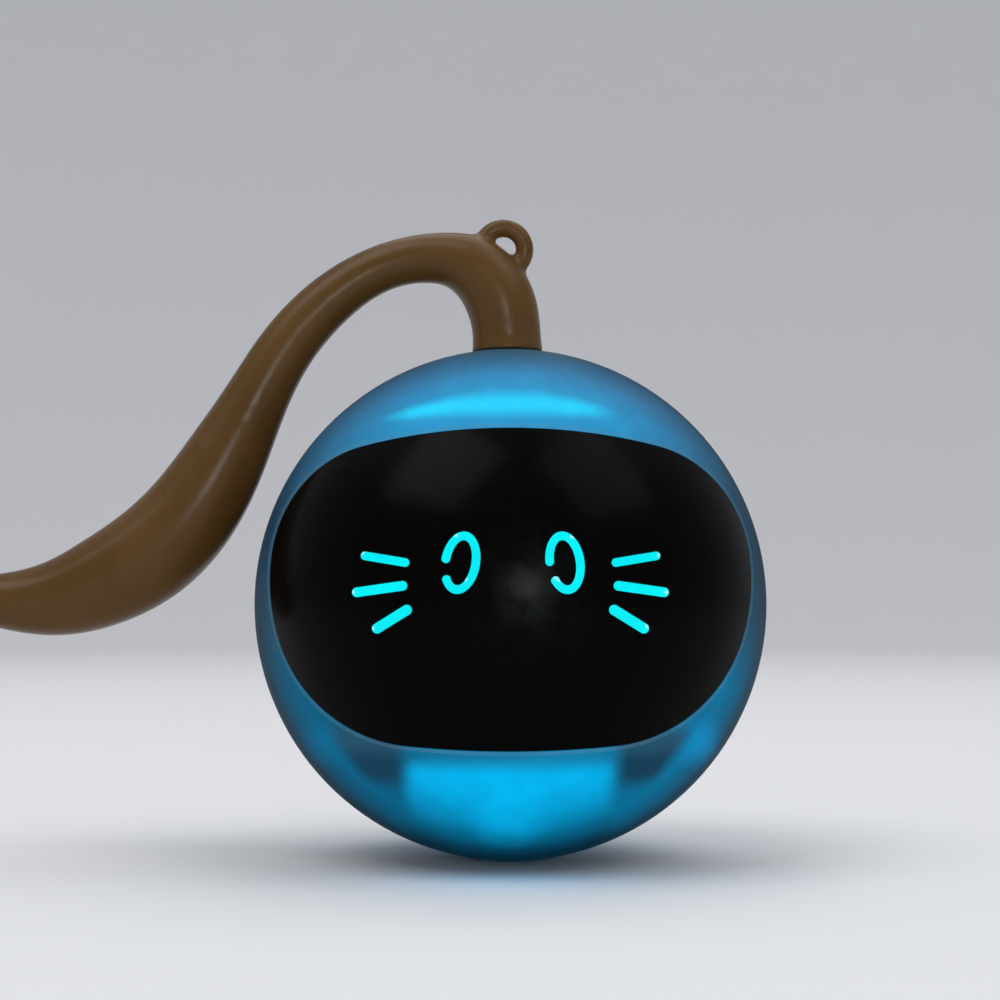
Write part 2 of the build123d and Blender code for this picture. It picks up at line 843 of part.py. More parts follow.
def gear_outline(teeth, tooth_angle):
    """A gear with involute flanks and one tooth centred on the given angle."""
    pitch_r = gear_module * teeth / 2
    base_r = pitch_r * cos(radians(pressure_angle))
    tip_r = pitch_r + gear_module * addendum_share
    root_r = pitch_r - gear_module * dedendum_share
    start_r = max(base_r, root_r)
    half_tooth = (pi * gear_module / 2 - tooth_slack) / (2 * pitch_r)

    def flank_angle(radius):
        angle = acos(min(1.0, base_r / radius))
        pitch = radians(pressure_angle)
        return half_tooth + (tan(pitch) - pitch) - (tan(angle) - angle)

    def at(radius, angle):
        return (radius * cos(angle), radius * sin(angle))

    radii = [start_r + (tip_r - start_r) * step / flank_steps for step in range(flank_steps + 1)]
    spacing = 2 * pi / teeth
    edges = []
    for tooth in range(teeth):
        centre = radians(tooth_angle) + tooth * spacing
        foot = flank_angle(start_r)
        if base_r > root_r:
            edges.append(Line(at(root_r, centre - foot), at(start_r, centre - foot)))
        edges.append(Spline([at(r, centre - flank_angle(r)) for r in radii]))
        tip = flank_angle(tip_r)
        edges.append(ThreePointArc(at(tip_r, centre - tip), at(tip_r, centre), at(tip_r, centre + tip)))
        edges.append(Spline([at(r, centre + flank_angle(r)) for r in reversed(radii)]))
        if base_r > root_r:
            edges.append(Line(at(start_r, centre + foot), at(root_r, centre + foot)))
        gap_middle = centre + spacing / 2
        next_foot = centre + spacing - foot
        edges.append(ThreePointArc(at(root_r, centre + foot), at(root_r, gap_middle), at(root_r, next_foot)))
    return make_face(edges)


def toothed(teeth, tooth_angle, low, high, place):
    return prism_x(gear_outline(teeth, tooth_angle), low, high, *place)


def wheel_web(low, place):
    """Shallow rings sunk in both faces of a wheel, between its rim and its hub."""
    root_r = gear_module * (wheel_teeth / 2 - dedendum_share)
    high = low + gear_width
    rings = rod_x(root_r - wheel_web_inset, low - overrun, low + wheel_web_recess, *place)
    rings += rod_x(root_r - wheel_web_inset, high - wheel_web_recess, high + overrun, *place)
    return rings - rod_x(wheel_hub_r + wheel_web_inset, low - 2 * overrun, high + 2 * overrun, *place)


def output_gear():
    gear = toothed(wheel_teeth, second_gear_angle, stage_a_x, stage_a_x + gear_width, (0, 0))
    gear -= wheel_web(stage_a_x, (0, 0))
    hub_low = -chassis_inner_x + gear_end_gap
    gear += rod_x(wheel_hub_r, hub_low, stage_a_x + gear_width + wheel_hub_length)
    return gear - rod_x(axle_r + pin_fit_gap, hub_low - overrun, stage_b_x)


def gap_angle(towards):
    """The tooth angle of a pinion whose gap faces the wheel that lies back along a direction."""
    return towards + 180 + 180 / pinion_teeth


def second_gear():
    """A long pinion that drives the output gear, with the wheel that the first gear drives."""
    place = second_gear_place
    gear = toothed(wheel_teeth, first_gear_angle, stage_b_x, stage_b_x + gear_width, place)
    gear -= wheel_web(stage_b_x, place)
    gear += toothed(pinion_teeth, gap_angle(second_gear_angle), stage_a_x, stage_b_x, place)
    return gear - rod_x(pin_r + gear_bore_gap, stage_a_x - overrun, stage_b_x + overrun, *place)


def first_gear():
    """A long pinion that drives the second gear, with the wheel that the motor drives."""
    place = first_gear_place
    gear = toothed(wheel_teeth, motor_angle, stage_c_x, stage_c_x + gear_width, place)
    gear -= wheel_web(stage_c_x, place)
    gear += toothed(pinion_teeth, gap_angle(first_gear_angle), stage_b_x, stage_c_x, place)
    return gear - rod_x(pin_r + gear_bore_gap, stage_b_x - overrun, stage_c_x + overrun, *place)


def motor_pinion():
    pinion = toothed(pinion_teeth, gap_angle(motor_angle), stage_c_x, stage_c_x + gear_width, motor_place)
    return pinion - rod_x(motor_shaft_r + pin_fit_gap, stage_c_x - overrun, stage_c_x + overrun, *motor_place)


def motor_front():
    return -chassis_inner_x + motor_back_gap + motor_can_length


def motor_tab_places():
    """The outer ends of the motor's two terminals: X, Y and Z of each."""
    y, z = motor_place
    rise = motor_can_height / 2 - motor_tab_inset
    x = motor_front() - motor_can_length - motor_tab / 2
    return [(x, y + motor_can_width / 2, z + rise), (x, y + motor_can_width / 2, z - rise)]


def drive_motor():
    """A flat-sided can with a short bearing boss round the shaft and two terminals on its back."""
    y, z = motor_place
    front = motor_front()
    can = prism_x(RectangleRounded(motor_can_width, motor_can_height, motor_can_corner),
                  front - motor_can_length, front, y, z)
    can += rod_x(motor_boss_r, front, front + motor_boss_length, y, z)
    for tab_x, tab_y, tab_z in motor_tab_places():
        low = tab_z - motor_tab_height / 2
        can += block(tab_x - motor_tab / 2, tab_x + motor_tab, y, tab_y, low, low + motor_tab_height)
    inside = front - motor_shaft_depth - gear_end_gap
    return can - rod_x(motor_shaft_r + gear_bore_gap, inside, front + overrun, y, z)


def motor_shaft():
    y, z = motor_place
    tip = stage_c_x + gear_width + gear_end_gap
    return rod_x(motor_shaft_r, motor_front() - motor_shaft_depth, tip, y, z)


def gear_pins():
    pins = []
    for y, z in (second_gear_place, first_gear_place):
        pins.append(rod_x(pin_r, -chassis_half_width, chassis_half_width, y, z))
    return group(pins)


def axle_bushes():
    bushes = []
    for side in (-1, 1):
        wall = sorted((side * chassis_inner_x, side * chassis_half_width))
        flange = sorted((side * chassis_half_width, side * (chassis_half_width + bush_flange)))
        bush = rod_x(bush_r, *wall) + rod_x(bush_flange_r, *flange)
        reach = chassis_half_width + overrun
        bushes.append(bush - rod_x(axle_r + axle_gap, -reach, reach))
    return group(bushes)


def axle():
    """The steel axle, with a flat at each end for the weights and grooves for the clips."""
    rod = rod_x(axle_r, -axle_half_length, axle_half_length)
    groove_start = weight_outer + weight_hub_lead + clip_groove_gap
    flat_start = weight_inner - weight_hub_lead
    for side in (-1, 1):
        flat = sorted((side * flat_start, side * (axle_half_length + overrun)))
        rod -= block(*flat, -overrun, overrun, axle_flat, axle_flat + overrun)
        groove = sorted((side * groove_start, side * (groove_start + clip_thickness + 2 * clip_groove_gap)))
        ring = rod_x(axle_r + overrun, *groove) - rod_x(clip_groove_r, *groove)
        rod -= ring
    return rod


def axle_clips():
    clips = []
    start = weight_outer + weight_hub_lead + 2 * clip_groove_gap
    for side in (-1, 1):
        ends = sorted((side * start, side * (start + clip_thickness)))
        clip = rod_x(clip_outer_r, *ends) - rod_x(clip_groove_r + pin_fit_gap, *ends)
        clip -= block(*ends, -clip_mouth / 2, clip_mouth / 2, 0, clip_outer_r + overrun)
        clips.append(clip)
    return group(clips)


def weight(side):
    """A sector of zinc that hangs from a D-shaped hub on the axle."""
    ends = sorted((side * weight_inner, side * weight_outer))
    start = -90 - weight_angle / 2
    sector = prism_x(sector_outline(weight_r, start, start + weight_angle), *ends)
    rim = sector.edges().filter_by(GeomType.CIRCLE)
    sector = fillet(rim, weight_edge)
    hub_start = weight_inner - weight_hub_lead
    hub = sorted((side * hub_start, side * (weight_outer + weight_hub_lead)))
    sector += rod_x(weight_hub_r, *hub)
    for angle in weight_pocket_angles:
        y, z = polar(weight_pocket_ring_r, angle)
        outside = sorted((side * (weight_outer - weight_pocket_depth), side * (weight_outer + overrun)))
        sector -= rod_x(weight_pocket_r, *outside, y, z)
    bore = rod_x(axle_r + pin_fit_gap, -ball_r, ball_r)
    flat = axle_flat + pin_fit_gap
    bore -= block(-ball_r, ball_r, -overrun, overrun, flat, flat + overrun)
    return sector - bore


def sector_outline(radius, start, end):
    middle = (start + end) / 2
    edges = [
        Line((0, 0), polar(radius, start)),
        ThreePointArc(polar(radius, start), polar(radius, middle), polar(radius, end)),
        Line(polar(radius, end), (0, 0)),
    ]
    return make_face(edges)


# Leads

def lead_places():
    """Start and end along Y, then X and Z, of the straight leads of the motor, battery and face."""
    battery_z = battery_low + battery_height - battery_lead_drop
    return {
        "motor": [(y, main_board_front, x, z) for x, y, z in motor_tab_places()],
        "battery": [(battery_length / 2, main_board_front, x, battery_z)
                    for x in (-battery_lead_x, battery_lead_x)],
        "face": [(face_board_back, main_board_front, x, face_lead_z)
                 for x in (face_lead_x, face_lead_x - face_lead_pitch)],
    }


def leads(kind):
    return group(rod_y(lead_r, start, end, x, z) for start, end, x, z in lead_places()[kind])


def lead_holes(low, high):
    holes = []
    for places in lead_places().values():
        for start, end, x, z in places:
            hole_low = max(low, start - lead_gap)
            if hole_low < high:
                holes.append(rod_y(lead_r + lead_gap, hole_low, high, x, z))
    return holes


# Battery and lights

def battery():
    high = battery_low + battery_height
    pouch = block(-battery_width / 2, battery_width / 2, -battery_length / 2, battery_length / 2,
                  battery_low, high)
    return fillet(pouch.edges().filter_by(Axis.Y), battery_corner)


def light_board(z_low, z_high):
    half = light_board_length / 2
    back = light_board_front + light_board_depth
    return block(-half, half, light_board_front, back, z_low, z_high)


def light_leds(z_low, z_high):
    y = light_board_front + light_board_depth / 2
    leds = []
    for place in range(light_led_count):
        x = (place - (light_led_count - 1) / 2) * light_led_pitch
        leds.append(block(x - led_length / 2, x + led_length / 2, y - led_width / 2, y + led_width / 2,
                          z_low, z_high))
    return group(leds)


def upper_light_board():
    return light_board(chassis_top, chassis_top + light_board_thickness)


def upper_leds():
    low = chassis_top + light_board_thickness
    return light_leds(low, low + led_height)


def lower_light_board():
    return light_board(chassis_bottom - light_board_thickness, chassis_bottom)


def lower_leds():
    high = chassis_bottom - light_board_thickness
    return light_leds(high - led_height, high)


# Main board, switch and port

def main_board():
    board = rounded_block_y(-main_board_half_width, main_board_half_width, -main_board_half_height,
                            main_board_half_height, board_corner, main_board_front, main_board_back)
    for x, z in main_screw_places():
        board -= rod_y(screw_shank_r + screw_gap, main_board_front - overrun, main_board_back + overrun, x, z)
    return board


def board_chips():
    chips = []
    half = chip_size / 2
    for x in (-chip_pitch / 2, chip_pitch / 2):
        chips.append(block(x - half, x + half, main_board_front - chip_height, main_board_front,
                           chip_z - half, chip_z + half))
    return group(chips)


def board_screws():
    tip = main_board_back + main_screw_reach - screw_tip_gap
    return group(board_screw(x, z, main_board_front, tip) for x, z in main_screw_places())


def tact_switch():
    half = switch_size / 2
    top = main_board_back + switch_height
    case = block(-half, half, main_board_back, top, button_z - half, button_z + half)
    well = top - plunger_well
    return case - rod_y(plunger_r + plunger_gap, well, top + overrun, 0, button_z)


def switch_plunger():
    return rod_y(plunger_r, plunger_top - plunger_length, plunger_top, 0, button_z)


def power_button():
    """A round cap, cut to the ball's curve, with a flange that stops it under the shell's boss."""
    cap = rod_y(button_r, button_seat - button_flange, ball_r + overrun, 0, button_z)
    cap &= Sphere(ball_r - button_sink)
    cap += rod_y(button_flange_r, button_seat - button_flange, button_seat, 0, button_z)
    return cap + rod_y(button_foot_r, plunger_top, button_seat, 0, button_z)


def usb_socket():
    """The metal mouth of a small charging socket that stands up from the board."""
    half_x = socket_width / 2
    half_z = socket_height / 2
    low = port_z - half_z
    high = port_z + half_z
    case = rounded_block_y(-half_x, half_x, low, high, half_z - socket_wall, main_board_back, socket_front)
    corner = half_z - 2 * socket_wall
    inner_x = half_x - socket_wall
    mouth = rounded_block_y(-inner_x, inner_x, low + socket_wall, high - socket_wall, corner,
                            main_board_back + socket_tongue_depth, socket_front + overrun)
    tongue_x = half_x - 3 * socket_wall
    tongue = block(-tongue_x, tongue_x, main_board_back, socket_front - socket_tongue_depth,
                   port_z - socket_tongue / 2, port_z + socket_tongue / 2)
    return case - mouth + tongue


def cover_blank(left, right, floor_gap):
    half = cover_height / 2
    blank = rounded_block_y(left, right, port_z - half, port_z + half, cover_corner, 0, ball_r + overrun)
    return blank & ball_layer(cover_floor_r + floor_gap, cover_outer_r)


def port_cover_flap():
    """The part of the silicone cover that swings open, with a plug for the mouth of the port."""
    left = cover_right - cover_width
    flap = cover_blank(left - cover_corner, cover_right, cover_floor_gap)
    flap -= block(left - 2 * cover_corner, left, 0, ball_r + overrun, port_z - ball_r, port_z + ball_r)
    top = sqrt(cover_floor_r**2 - port_z**2) + cover_depth / 2
    low = sqrt(cover_floor_r**2 - (plug_width / 2)**2 - port_z**2) - plug_depth
    plug = rounded_block_y(-plug_width / 2, plug_width / 2, port_z - plug_height / 2,
                           port_z + plug_height / 2, plug_height / 2 - board_gap, low, top)
    return flap + plug


def port_cover_anchor():
    """The fixed end of the silicone cover, held by a peg through the rear shell."""
    right = cover_right - cover_width - anchor_split
    left = right - anchor_width
    pad = cover_blank(left, right + cover_corner, anchor_floor_gap)
    pad -= block(right, right + 2 * cover_corner, 0, ball_r + overrun, port_z - ball_r, port_z + ball_r)
    wall = sqrt(shell_inner_r**2 - (abs(peg_x) + peg_head_r)**2 - port_z**2)
    head = wall - peg_head_gap - peg_head
    pad += rod_y(peg_r, head, sqrt(cover_floor_r**2 - peg_x**2 - port_z**2) + cover_depth / 2, peg_x, port_z)
    return pad + rod_y(peg_head_r, head, head + peg_head, peg_x, port_z)


# Tail

def tail_point(shares):
    across, up, radius = shares
    return (-across * tail_reach, ball_r + up * tail_reach, radius * tail_root_r)


def tail_sections():
    """Circles square to the centre line, from the root to the tip."""
    points = [tail_point(shares) for shares in tail_shares]
    sections = []
    for index, (x, z, radius) in enumerate(points):
        before = points[max(index - 1, 0)]
        after = points[min(index + 1, len(points) - 1)]
        direction = (after[0] - before[0], 0, after[1] - before[1])
        if index == 0:
            direction = (0, 0, 1)
        plane = Plane(origin=(x, 0, z), x_dir=(0, 1, 0), z_dir=direction)
        sections.append(plane * Circle(radius))
    return sections


def tail():
    """The silicone tail with its ring for a cord, hollowed for the stem's core."""
    body = loft(tail_sections())
    x, z, radius = tail_point(tail_shares[-1])
    body += Pos(x, 0, z) * Sphere(radius)
    root_x, root_z, root_r = tail_point(tail_shares[0])
    body += rod_z(root_r, root_z - tail_root_overlap, root_z, root_x)
    loop_x, loop_z = (share * tail_reach for share in loop_place_shares)
    body += Pos(-loop_x, 0, ball_r + loop_z) * Rot(90, 0, 0) * Torus(loop_ring_r, loop_wire_r)
    body -= Sphere(ball_r + tail_gap)
    return body - stem_core(stem_fit_gap)


def stem_core(margin):
    core = rod_z(stem_core_r + margin, ball_r - overrun, ball_r + stem_core_top + margin)
    for height in stem_barb_heights:
        low = ball_r + height - margin
        core += rod_z(stem_barb_r + margin, low, low + stem_barb + 2 * margin)
    return core


def tail_stem():
    """A turned core that grips the silicone, and a flange that the two shells trap."""
    collar_low = shell_inner_r - stem_collar_drop
    flange_high = collar_low - stem_flange_gap
    stem = stem_core(0.0) & rod_z(stem_barb_r, ball_r, ball_r + stem_core_top)
    stem += rod_z(stem_core_r, flange_high, ball_r + stem_core_top)
    stem += rod_z(stem_r, flange_high, sqrt(ball_r**2 - stem_r**2))
    return stem + rod_z(stem_flange_r, flange_high - stem_flange, flange_high)


pieces = {
    "front_shell": front_shell,
    "rear_shell": rear_shell,
    "shell_screws": shell_screws,
    "face_lens": face_lens,
    "face_light_guide": face_light_guide,
    "face_light_housing": face_light_housing,
    "face_led_board": face_led_board,
    "face_leds": face_leds,
    "face_board_screws": face_board_screws,
    "chassis_left": chassis_left,
    "chassis_right": chassis_right,
    "chassis_screws": chassis_screws,
    "gear_pins": gear_pins,
    "axle_bushes": axle_bushes,
    "drive_motor": drive_motor,
    "motor_shaft": motor_shaft,
    "motor_pinion": motor_pinion,
    "first_gear": first_gear,
    "second_gear": second_gear,
    "output_gear": output_gear,
    "axle": axle,
    "axle_clips": axle_clips,
    "weight_left": lambda: weight(-1),
    "weight_right": lambda: weight(1),
    "battery": battery,
    "motor_leads": lambda: leads("motor"),
    "battery_leads": lambda: leads("battery"),
    "face_leads": lambda: leads("face"),
    "upper_light_board": upper_light_board,
    "upper_leds": upper_leds,
    "lower_light_board": lower_light_board,
    "lower_leds": lower_leds,
    "main_board": main_board,
    "board_chips": board_chips,
    "board_screws": board_screws,
    "tact_switch": tact_switch,
    "switch_plunger": switch_plunger,
    "power_button": power_button,
    "usb_socket": usb_socket,
    "port_cover_flap": port_cover_flap,
    "port_cover_anchor": port_cover_anchor,
    "tail_stem": tail_stem,
    "tail": tail,
}

os.makedirs("parts", exist_ok=True)
print("port cover hinge at", round(hinge_x, 3), round(hinge_y, 3), round(port_z + ball_r, 3))
print("gear centres", second_gear_place, first_gear_place, motor_place)
for name, make in pieces.items():
    export_step(Pos(0, 0, ball_r) * make(), "parts/" + name + ".step")
    print("written", name)
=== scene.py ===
# %% [markdown]
# # A self-rolling cat ball with a lit face and a silicone tail
# The construction comes in finished: every hard piece has its real size and place. This lesson
# gives it its looks. We load the construction first, because every later step measures itself
# against it.

# %% Open the construction
import json
from math import cos, radians, sin, sqrt

import bpy
import numpy as np
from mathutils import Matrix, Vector


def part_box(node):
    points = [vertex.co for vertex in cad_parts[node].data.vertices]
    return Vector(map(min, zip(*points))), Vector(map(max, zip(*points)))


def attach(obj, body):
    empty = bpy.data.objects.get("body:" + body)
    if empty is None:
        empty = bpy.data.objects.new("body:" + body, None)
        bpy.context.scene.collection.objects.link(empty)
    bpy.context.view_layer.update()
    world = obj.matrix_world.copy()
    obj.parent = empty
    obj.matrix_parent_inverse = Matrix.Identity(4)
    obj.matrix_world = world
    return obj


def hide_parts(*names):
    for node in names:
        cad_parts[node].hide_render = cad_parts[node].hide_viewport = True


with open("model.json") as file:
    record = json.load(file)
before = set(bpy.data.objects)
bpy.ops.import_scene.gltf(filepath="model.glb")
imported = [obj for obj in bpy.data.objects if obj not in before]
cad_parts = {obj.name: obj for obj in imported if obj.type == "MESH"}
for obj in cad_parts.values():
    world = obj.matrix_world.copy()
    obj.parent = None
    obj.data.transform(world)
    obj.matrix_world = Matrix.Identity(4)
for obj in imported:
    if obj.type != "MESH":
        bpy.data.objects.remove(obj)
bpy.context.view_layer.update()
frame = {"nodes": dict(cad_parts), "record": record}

print("pieces in the construction:", len(frame["nodes"]))

# %% [markdown]
# ## The sizes that the looks follow
# The ball touches the floor at the origin, so its radius is also the height of its centre.
# Reading it from the front shell keeps the paint on the ball if the ball ever changes.

# %% Measure the ball
MM = 0.001
shell_low, shell_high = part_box("front_shell")
ball_r = (shell_high.x - shell_low.x) / 2
ball_centre = Vector((0, 0, ball_r))
print("ball radius in millimetres:", round(ball_r / MM, 2))

# %% [markdown]
# ## Camera
# The ball fills a known circle of the picture, and its outline is round, so the camera looks at
# it level from some way off. Eight radii was chosen, because then the face bulges as much as it
# should. From there, the focal length follows from the circle's size. A small shift of the frame
# puts the ball low in the picture without tilting the camera, which would make the level floor
# lean.

# %% Place the camera
picture_width = 1000
ball_px = (510.5, 605.0)
ball_radius_px = 256.0
distance_in_radii = 8.0
sensor_width = 36.0

focal_px = ball_radius_px * sqrt(distance_in_radii**2 - 1)
lens_data = bpy.data.cameras.new("camera")
lens_data.sensor_width = sensor_width
lens_data.lens = sensor_width * focal_px / picture_width
lens_data.shift_x = (picture_width / 2 - ball_px[0]) / picture_width
lens_data.shift_y = (ball_px[1] - picture_width / 2) / picture_width
lens_data.clip_start = 0.01
camera = bpy.data.objects.new("camera", lens_data)
camera.location = ball_centre + Vector((0, -distance_in_radii * ball_r, 0))
camera.rotation_euler = (radians(90), 0, 0)
bpy.context.scene.collection.objects.link(camera)
bpy.context.scene.camera = camera
bpy.context.scene.view_settings.view_transform = "Standard"
print("focal length:", round(lens_data.lens, 2))

# %% [markdown]
# ## Node helpers
# A material is a small network of nodes. A few short functions keep the rest readable: one adds a
# node, one feeds a socket with a number or with another node, one does sums on whole surfaces,
# and the others mix and scale colours.

# %% Helpers for networks of nodes
def add(tree, kind, **settings):
    node = tree.nodes.new(kind)
    for name, value in settings.items():
        setattr(node, name, value)
    return node


def feed(tree, value, socket):
    """Link a socket to another one, or write a plain value into it."""
    if isinstance(value, bpy.types.NodeSocket):
        tree.links.new(value, socket)
    else:
        socket.default_value = value


def calc(tree, operation, *values):
    node = add(tree, "ShaderNodeMath", operation=operation)
    for value, socket in zip(values, node.inputs):
        feed(tree, value, socket)
    return node.outputs[0]


def ramp(tree, value, start, end, low=0.0, high=1.0):
    """A smooth step from low to high while the value goes from start to end."""
    node = add(tree, "ShaderNodeMapRange", interpolation_type="SMOOTHSTEP")
    names = ("Value", "From Min", "From Max", "To Min", "To Max")
    for given, name in zip((value, start, end, low, high), names):
        feed(tree, given, node.inputs[name])
    return node.outputs[0]


def mixed(tree, share, first, second):
    node = add(tree, "ShaderNodeMix", data_type="RGBA")
    for given, place in ((share, 0), (first, 6), (second, 7)):
        feed(tree, given, node.inputs[place])
    return node.outputs[2]


def colour(red, green, blue):
    """A colour written as it looks on screen, from 0 to 255, made linear for the renderer."""
    def straight(part):
        part = part / 255
        return part / 12.92 if part <= 0.04045 else ((part + 0.055) / 1.055) ** 2.4
    return (straight(red), straight(green), straight(blue), 1.0)


def dimmed(tree, tint, amount):
    """A colour made weaker or stronger."""
    node = add(tree, "ShaderNodeVectorMath", operation="SCALE")
    feed(tree, tint, node.inputs[0])
    feed(tree, amount, node.inputs["Scale"])
    return node.outputs[0]


def scale_of_colours(tree, value, stops):
    """Colours along a value. Each stop is a value and the colour that belongs to it."""
    first, last = stops[0][0], stops[-1][0]
    share = calc(tree, "DIVIDE", calc(tree, "SUBTRACT", value, first), last - first)
    node = add(tree, "ShaderNodeValToRGB")
    feed(tree, share, node.inputs[0])
    elements = node.color_ramp.elements
    for index, (spot, tint) in enumerate(stops):
        position = (spot - first) / (last - first)
        element = elements[index] if index < 2 else elements.new(position)
        element.position = position
        element.color = colour(*tint)
    return node.outputs[0]


print("helpers ready")

# %% [markdown]
# ## Effects that many materials share
# Shared effects live in node groups, each built once. `ball place` says where a point lies on the
# ball, in millimetres from its centre. `soft patch` is a rectangle with blurred edges, which is
# what a row of lamps looks like through frosted plastic. `fine grain` is the tooth of a moulded
# surface, `round edge` turns sharp corners to the light as if they were slightly rounded, and its
# second output, `Wear`, finds those corners.

# %% A function that starts a group
def start_group(name, inputs, outputs):
    group = bpy.data.node_groups.new(name, "ShaderNodeTree")
    for label, kind, value in inputs:
        socket = group.interface.new_socket(name=label, in_out="INPUT",
                                            socket_type="NodeSocket" + kind)
        socket.default_value = value
    for label, kind in outputs:
        group.interface.new_socket(name=label, in_out="OUTPUT",
                                   socket_type="NodeSocket" + kind)
    return group, add(group, "NodeGroupInput"), add(group, "NodeGroupOutput")


def place(tree, group, **values):
    """Put a group in a network. An underscore in a value's name stands for a space."""
    node = add(tree, "ShaderNodeGroup", node_tree=group)
    for name, value in values.items():
        feed(tree, value, node.inputs[name.replace("_", " ")])
    return node


print("group functions ready")

# %% Where a point lies on the ball
def make_ball_place():
    results = [(name, "Float") for name in ("Right", "Back", "Up", "Distance")]
    group, _, end = start_group("ball place", [], results)
    where = add(group, "ShaderNodeTexCoord").outputs["Object"]
    from_centre = add(group, "ShaderNodeVectorMath", operation="SUBTRACT")
    feed(group, where, from_centre.inputs[0])
    from_centre.inputs[1].default_value = ball_centre
    in_mm = add(group, "ShaderNodeVectorMath", operation="SCALE")
    feed(group, from_centre.outputs[0], in_mm.inputs[0])
    in_mm.inputs["Scale"].default_value = 1 / MM
    parts = add(group, "ShaderNodeSeparateXYZ")
    feed(group, in_mm.outputs[0], parts.inputs[0])
    length = add(group, "ShaderNodeVectorMath", operation="LENGTH")
    feed(group, in_mm.outputs[0], length.inputs[0])
    for result, socket in zip((*parts.outputs, length.outputs["Value"]), end.inputs):
        group.links.new(result, socket)
    return group


ball_place = make_ball_place()
print(ball_place.name)

# %% A rectangle of light with blurred edges
def make_soft_patch():
    names = ("Across", "Up", "Middle Across", "Middle Up", "Half Width", "Half Height", "Blur")
    wanted = [(name, "Float", 1.0) for name in names]
    group, start, end = start_group("soft patch", wanted, [("Mask", "Float")])
    given = {name: start.outputs[name] for name in names}

    def outside(position, middle, half):
        away = calc(group, "ABSOLUTE", calc(group, "SUBTRACT", given[position], given[middle]))
        return calc(group, "MAXIMUM", calc(group, "SUBTRACT", away, given[half]), 0.0)

    across = calc(group, "POWER", outside("Across", "Middle Across", "Half Width"), 2.0)
    up = calc(group, "POWER", outside("Up", "Middle Up", "Half Height"), 2.0)
    away = calc(group, "SQRT", calc(group, "ADD", across, up))
    mask = ramp(group, away, 0.0, given["Blur"], 1.0, 0.0)
    group.links.new(mask, end.inputs["Mask"])
    return group


soft_patch = make_soft_patch()
print(soft_patch.name)

# %% The tooth of a moulded surface
def make_fine_grain():
    wanted = [("Scale", "Float", 2000.0), ("Clouding", "Float", 120.0)]
    results = [("Height", "Float"), ("Clouds", "Float")]
    group, start, end = start_group("fine grain", wanted, results)
    where = add(group, "ShaderNodeTexCoord").outputs["Object"]
    for label, socket, detail in (("Scale", "Height", 3.0), ("Clouding", "Clouds", 4.0)):
        texture = add(group, "ShaderNodeTexNoise")
        feed(group, where, texture.inputs["Vector"])
        feed(group, start.outputs[label], texture.inputs["Scale"])
        texture.inputs["Detail"].default_value = detail
        group.links.new(texture.outputs[0], end.inputs[socket])
    return group


fine_grain = make_fine_grain()
print(fine_grain.name)

# %% Corners that catch the light
corner_looks = 4
flat_from, sharp_to = 0.99, 0.80


def make_round_edge():
    group, start, end = start_group("round edge", [("Radius", "Float", 0.15 * MM)],
                                    [("Normal", "Vector"), ("Wear", "Float")])
    bevel = add(group, "ShaderNodeBevel", samples=corner_looks)
    feed(group, start.outputs["Radius"], bevel.inputs["Radius"])
    surface = add(group, "ShaderNodeNewGeometry")
    agree = add(group, "ShaderNodeVectorMath", operation="DOT_PRODUCT")
    feed(group, bevel.outputs[0], agree.inputs[0])
    feed(group, surface.outputs["Normal"], agree.inputs[1])
    wear = ramp(group, agree.outputs["Value"], flat_from, sharp_to)
    group.links.new(bevel.outputs[0], end.inputs["Normal"])
    group.links.new(wear, end.inputs["Wear"])
    return group


round_edge = make_round_edge()
print(round_edge.name)

# %% [markdown]
# ## A start for every material
# Each finish begins with the same few nodes: a shader, its corners rounded a little, and a fine
# grain that feeds the height of a bump. What makes a finish its own is then added to it. Five
# short functions do what comes back in many of them: clouds between two tones, corners of another
# colour, a second, coarser relief over the grain, an uneven polish, and light of its own.

# %% Begin a finish
def begin(name, roughness, metallic=0.0, edge=0.15 * MM, grain=2000.0, clouding=120.0,
          bump=0.02 * MM, strength=0.3):
    """A new material: its network, its shader and the outputs of its edge and grain groups."""
    material = bpy.data.materials.new(name)
    material.use_nodes = True
    tree = material.node_tree
    shader = tree.nodes["Principled BSDF"]
    shader.inputs["Roughness"].default_value = roughness
    shader.inputs["Metallic"].default_value = metallic
    edges = place(tree, round_edge, Radius=edge)
    surface = place(tree, fine_grain, Scale=grain, Clouding=clouding)
    relief = add(tree, "ShaderNodeBump")
    relief.inputs["Strength"].default_value = strength
    relief.inputs["Distance"].default_value = bump
    feed(tree, surface.outputs["Height"], relief.inputs["Height"])
    feed(tree, edges.outputs["Normal"], relief.inputs["Normal"])
    feed(tree, relief.outputs["Normal"], shader.inputs["Normal"])
    return material, tree, shader, edges, surface


print("every finish starts the same way")

# %% Add to a finish, and put it on pieces
cloud_change = (0.3, 0.7)


def clouded(tree, surface, deep, pale):
    """Two tones that pass softly into each other."""
    return mixed(tree, ramp(tree, surface.outputs["Clouds"], *cloud_change), deep, pale)


def corner_wear_and_light(tree, edges, share, tint, corner_tint):
    """Corners turn to another colour by a share: wear on most finishes, painted light on a glow.
    """
    return mixed(tree, calc(tree, "MULTIPLY", edges.outputs["Wear"], share), tint, corner_tint)


def emboss(tree, shader, height, distance, strength):
    """Add a second relief to the one that the shader already has."""
    relief = add(tree, "ShaderNodeBump")
    relief.inputs["Distance"].default_value = distance
    relief.inputs["Strength"].default_value = strength
    feed(tree, height, relief.inputs["Height"])
    feed(tree, shader.inputs["Normal"].links[0].from_socket, relief.inputs["Normal"])
    feed(tree, relief.outputs["Normal"], shader.inputs["Normal"])


def vary_polish(tree, shader, noise, start, end, low, high):
    """The roughness goes from low to high while the noise goes from start to end."""
    feed(tree, ramp(tree, noise, start, end, low, high), shader.inputs["Roughness"])


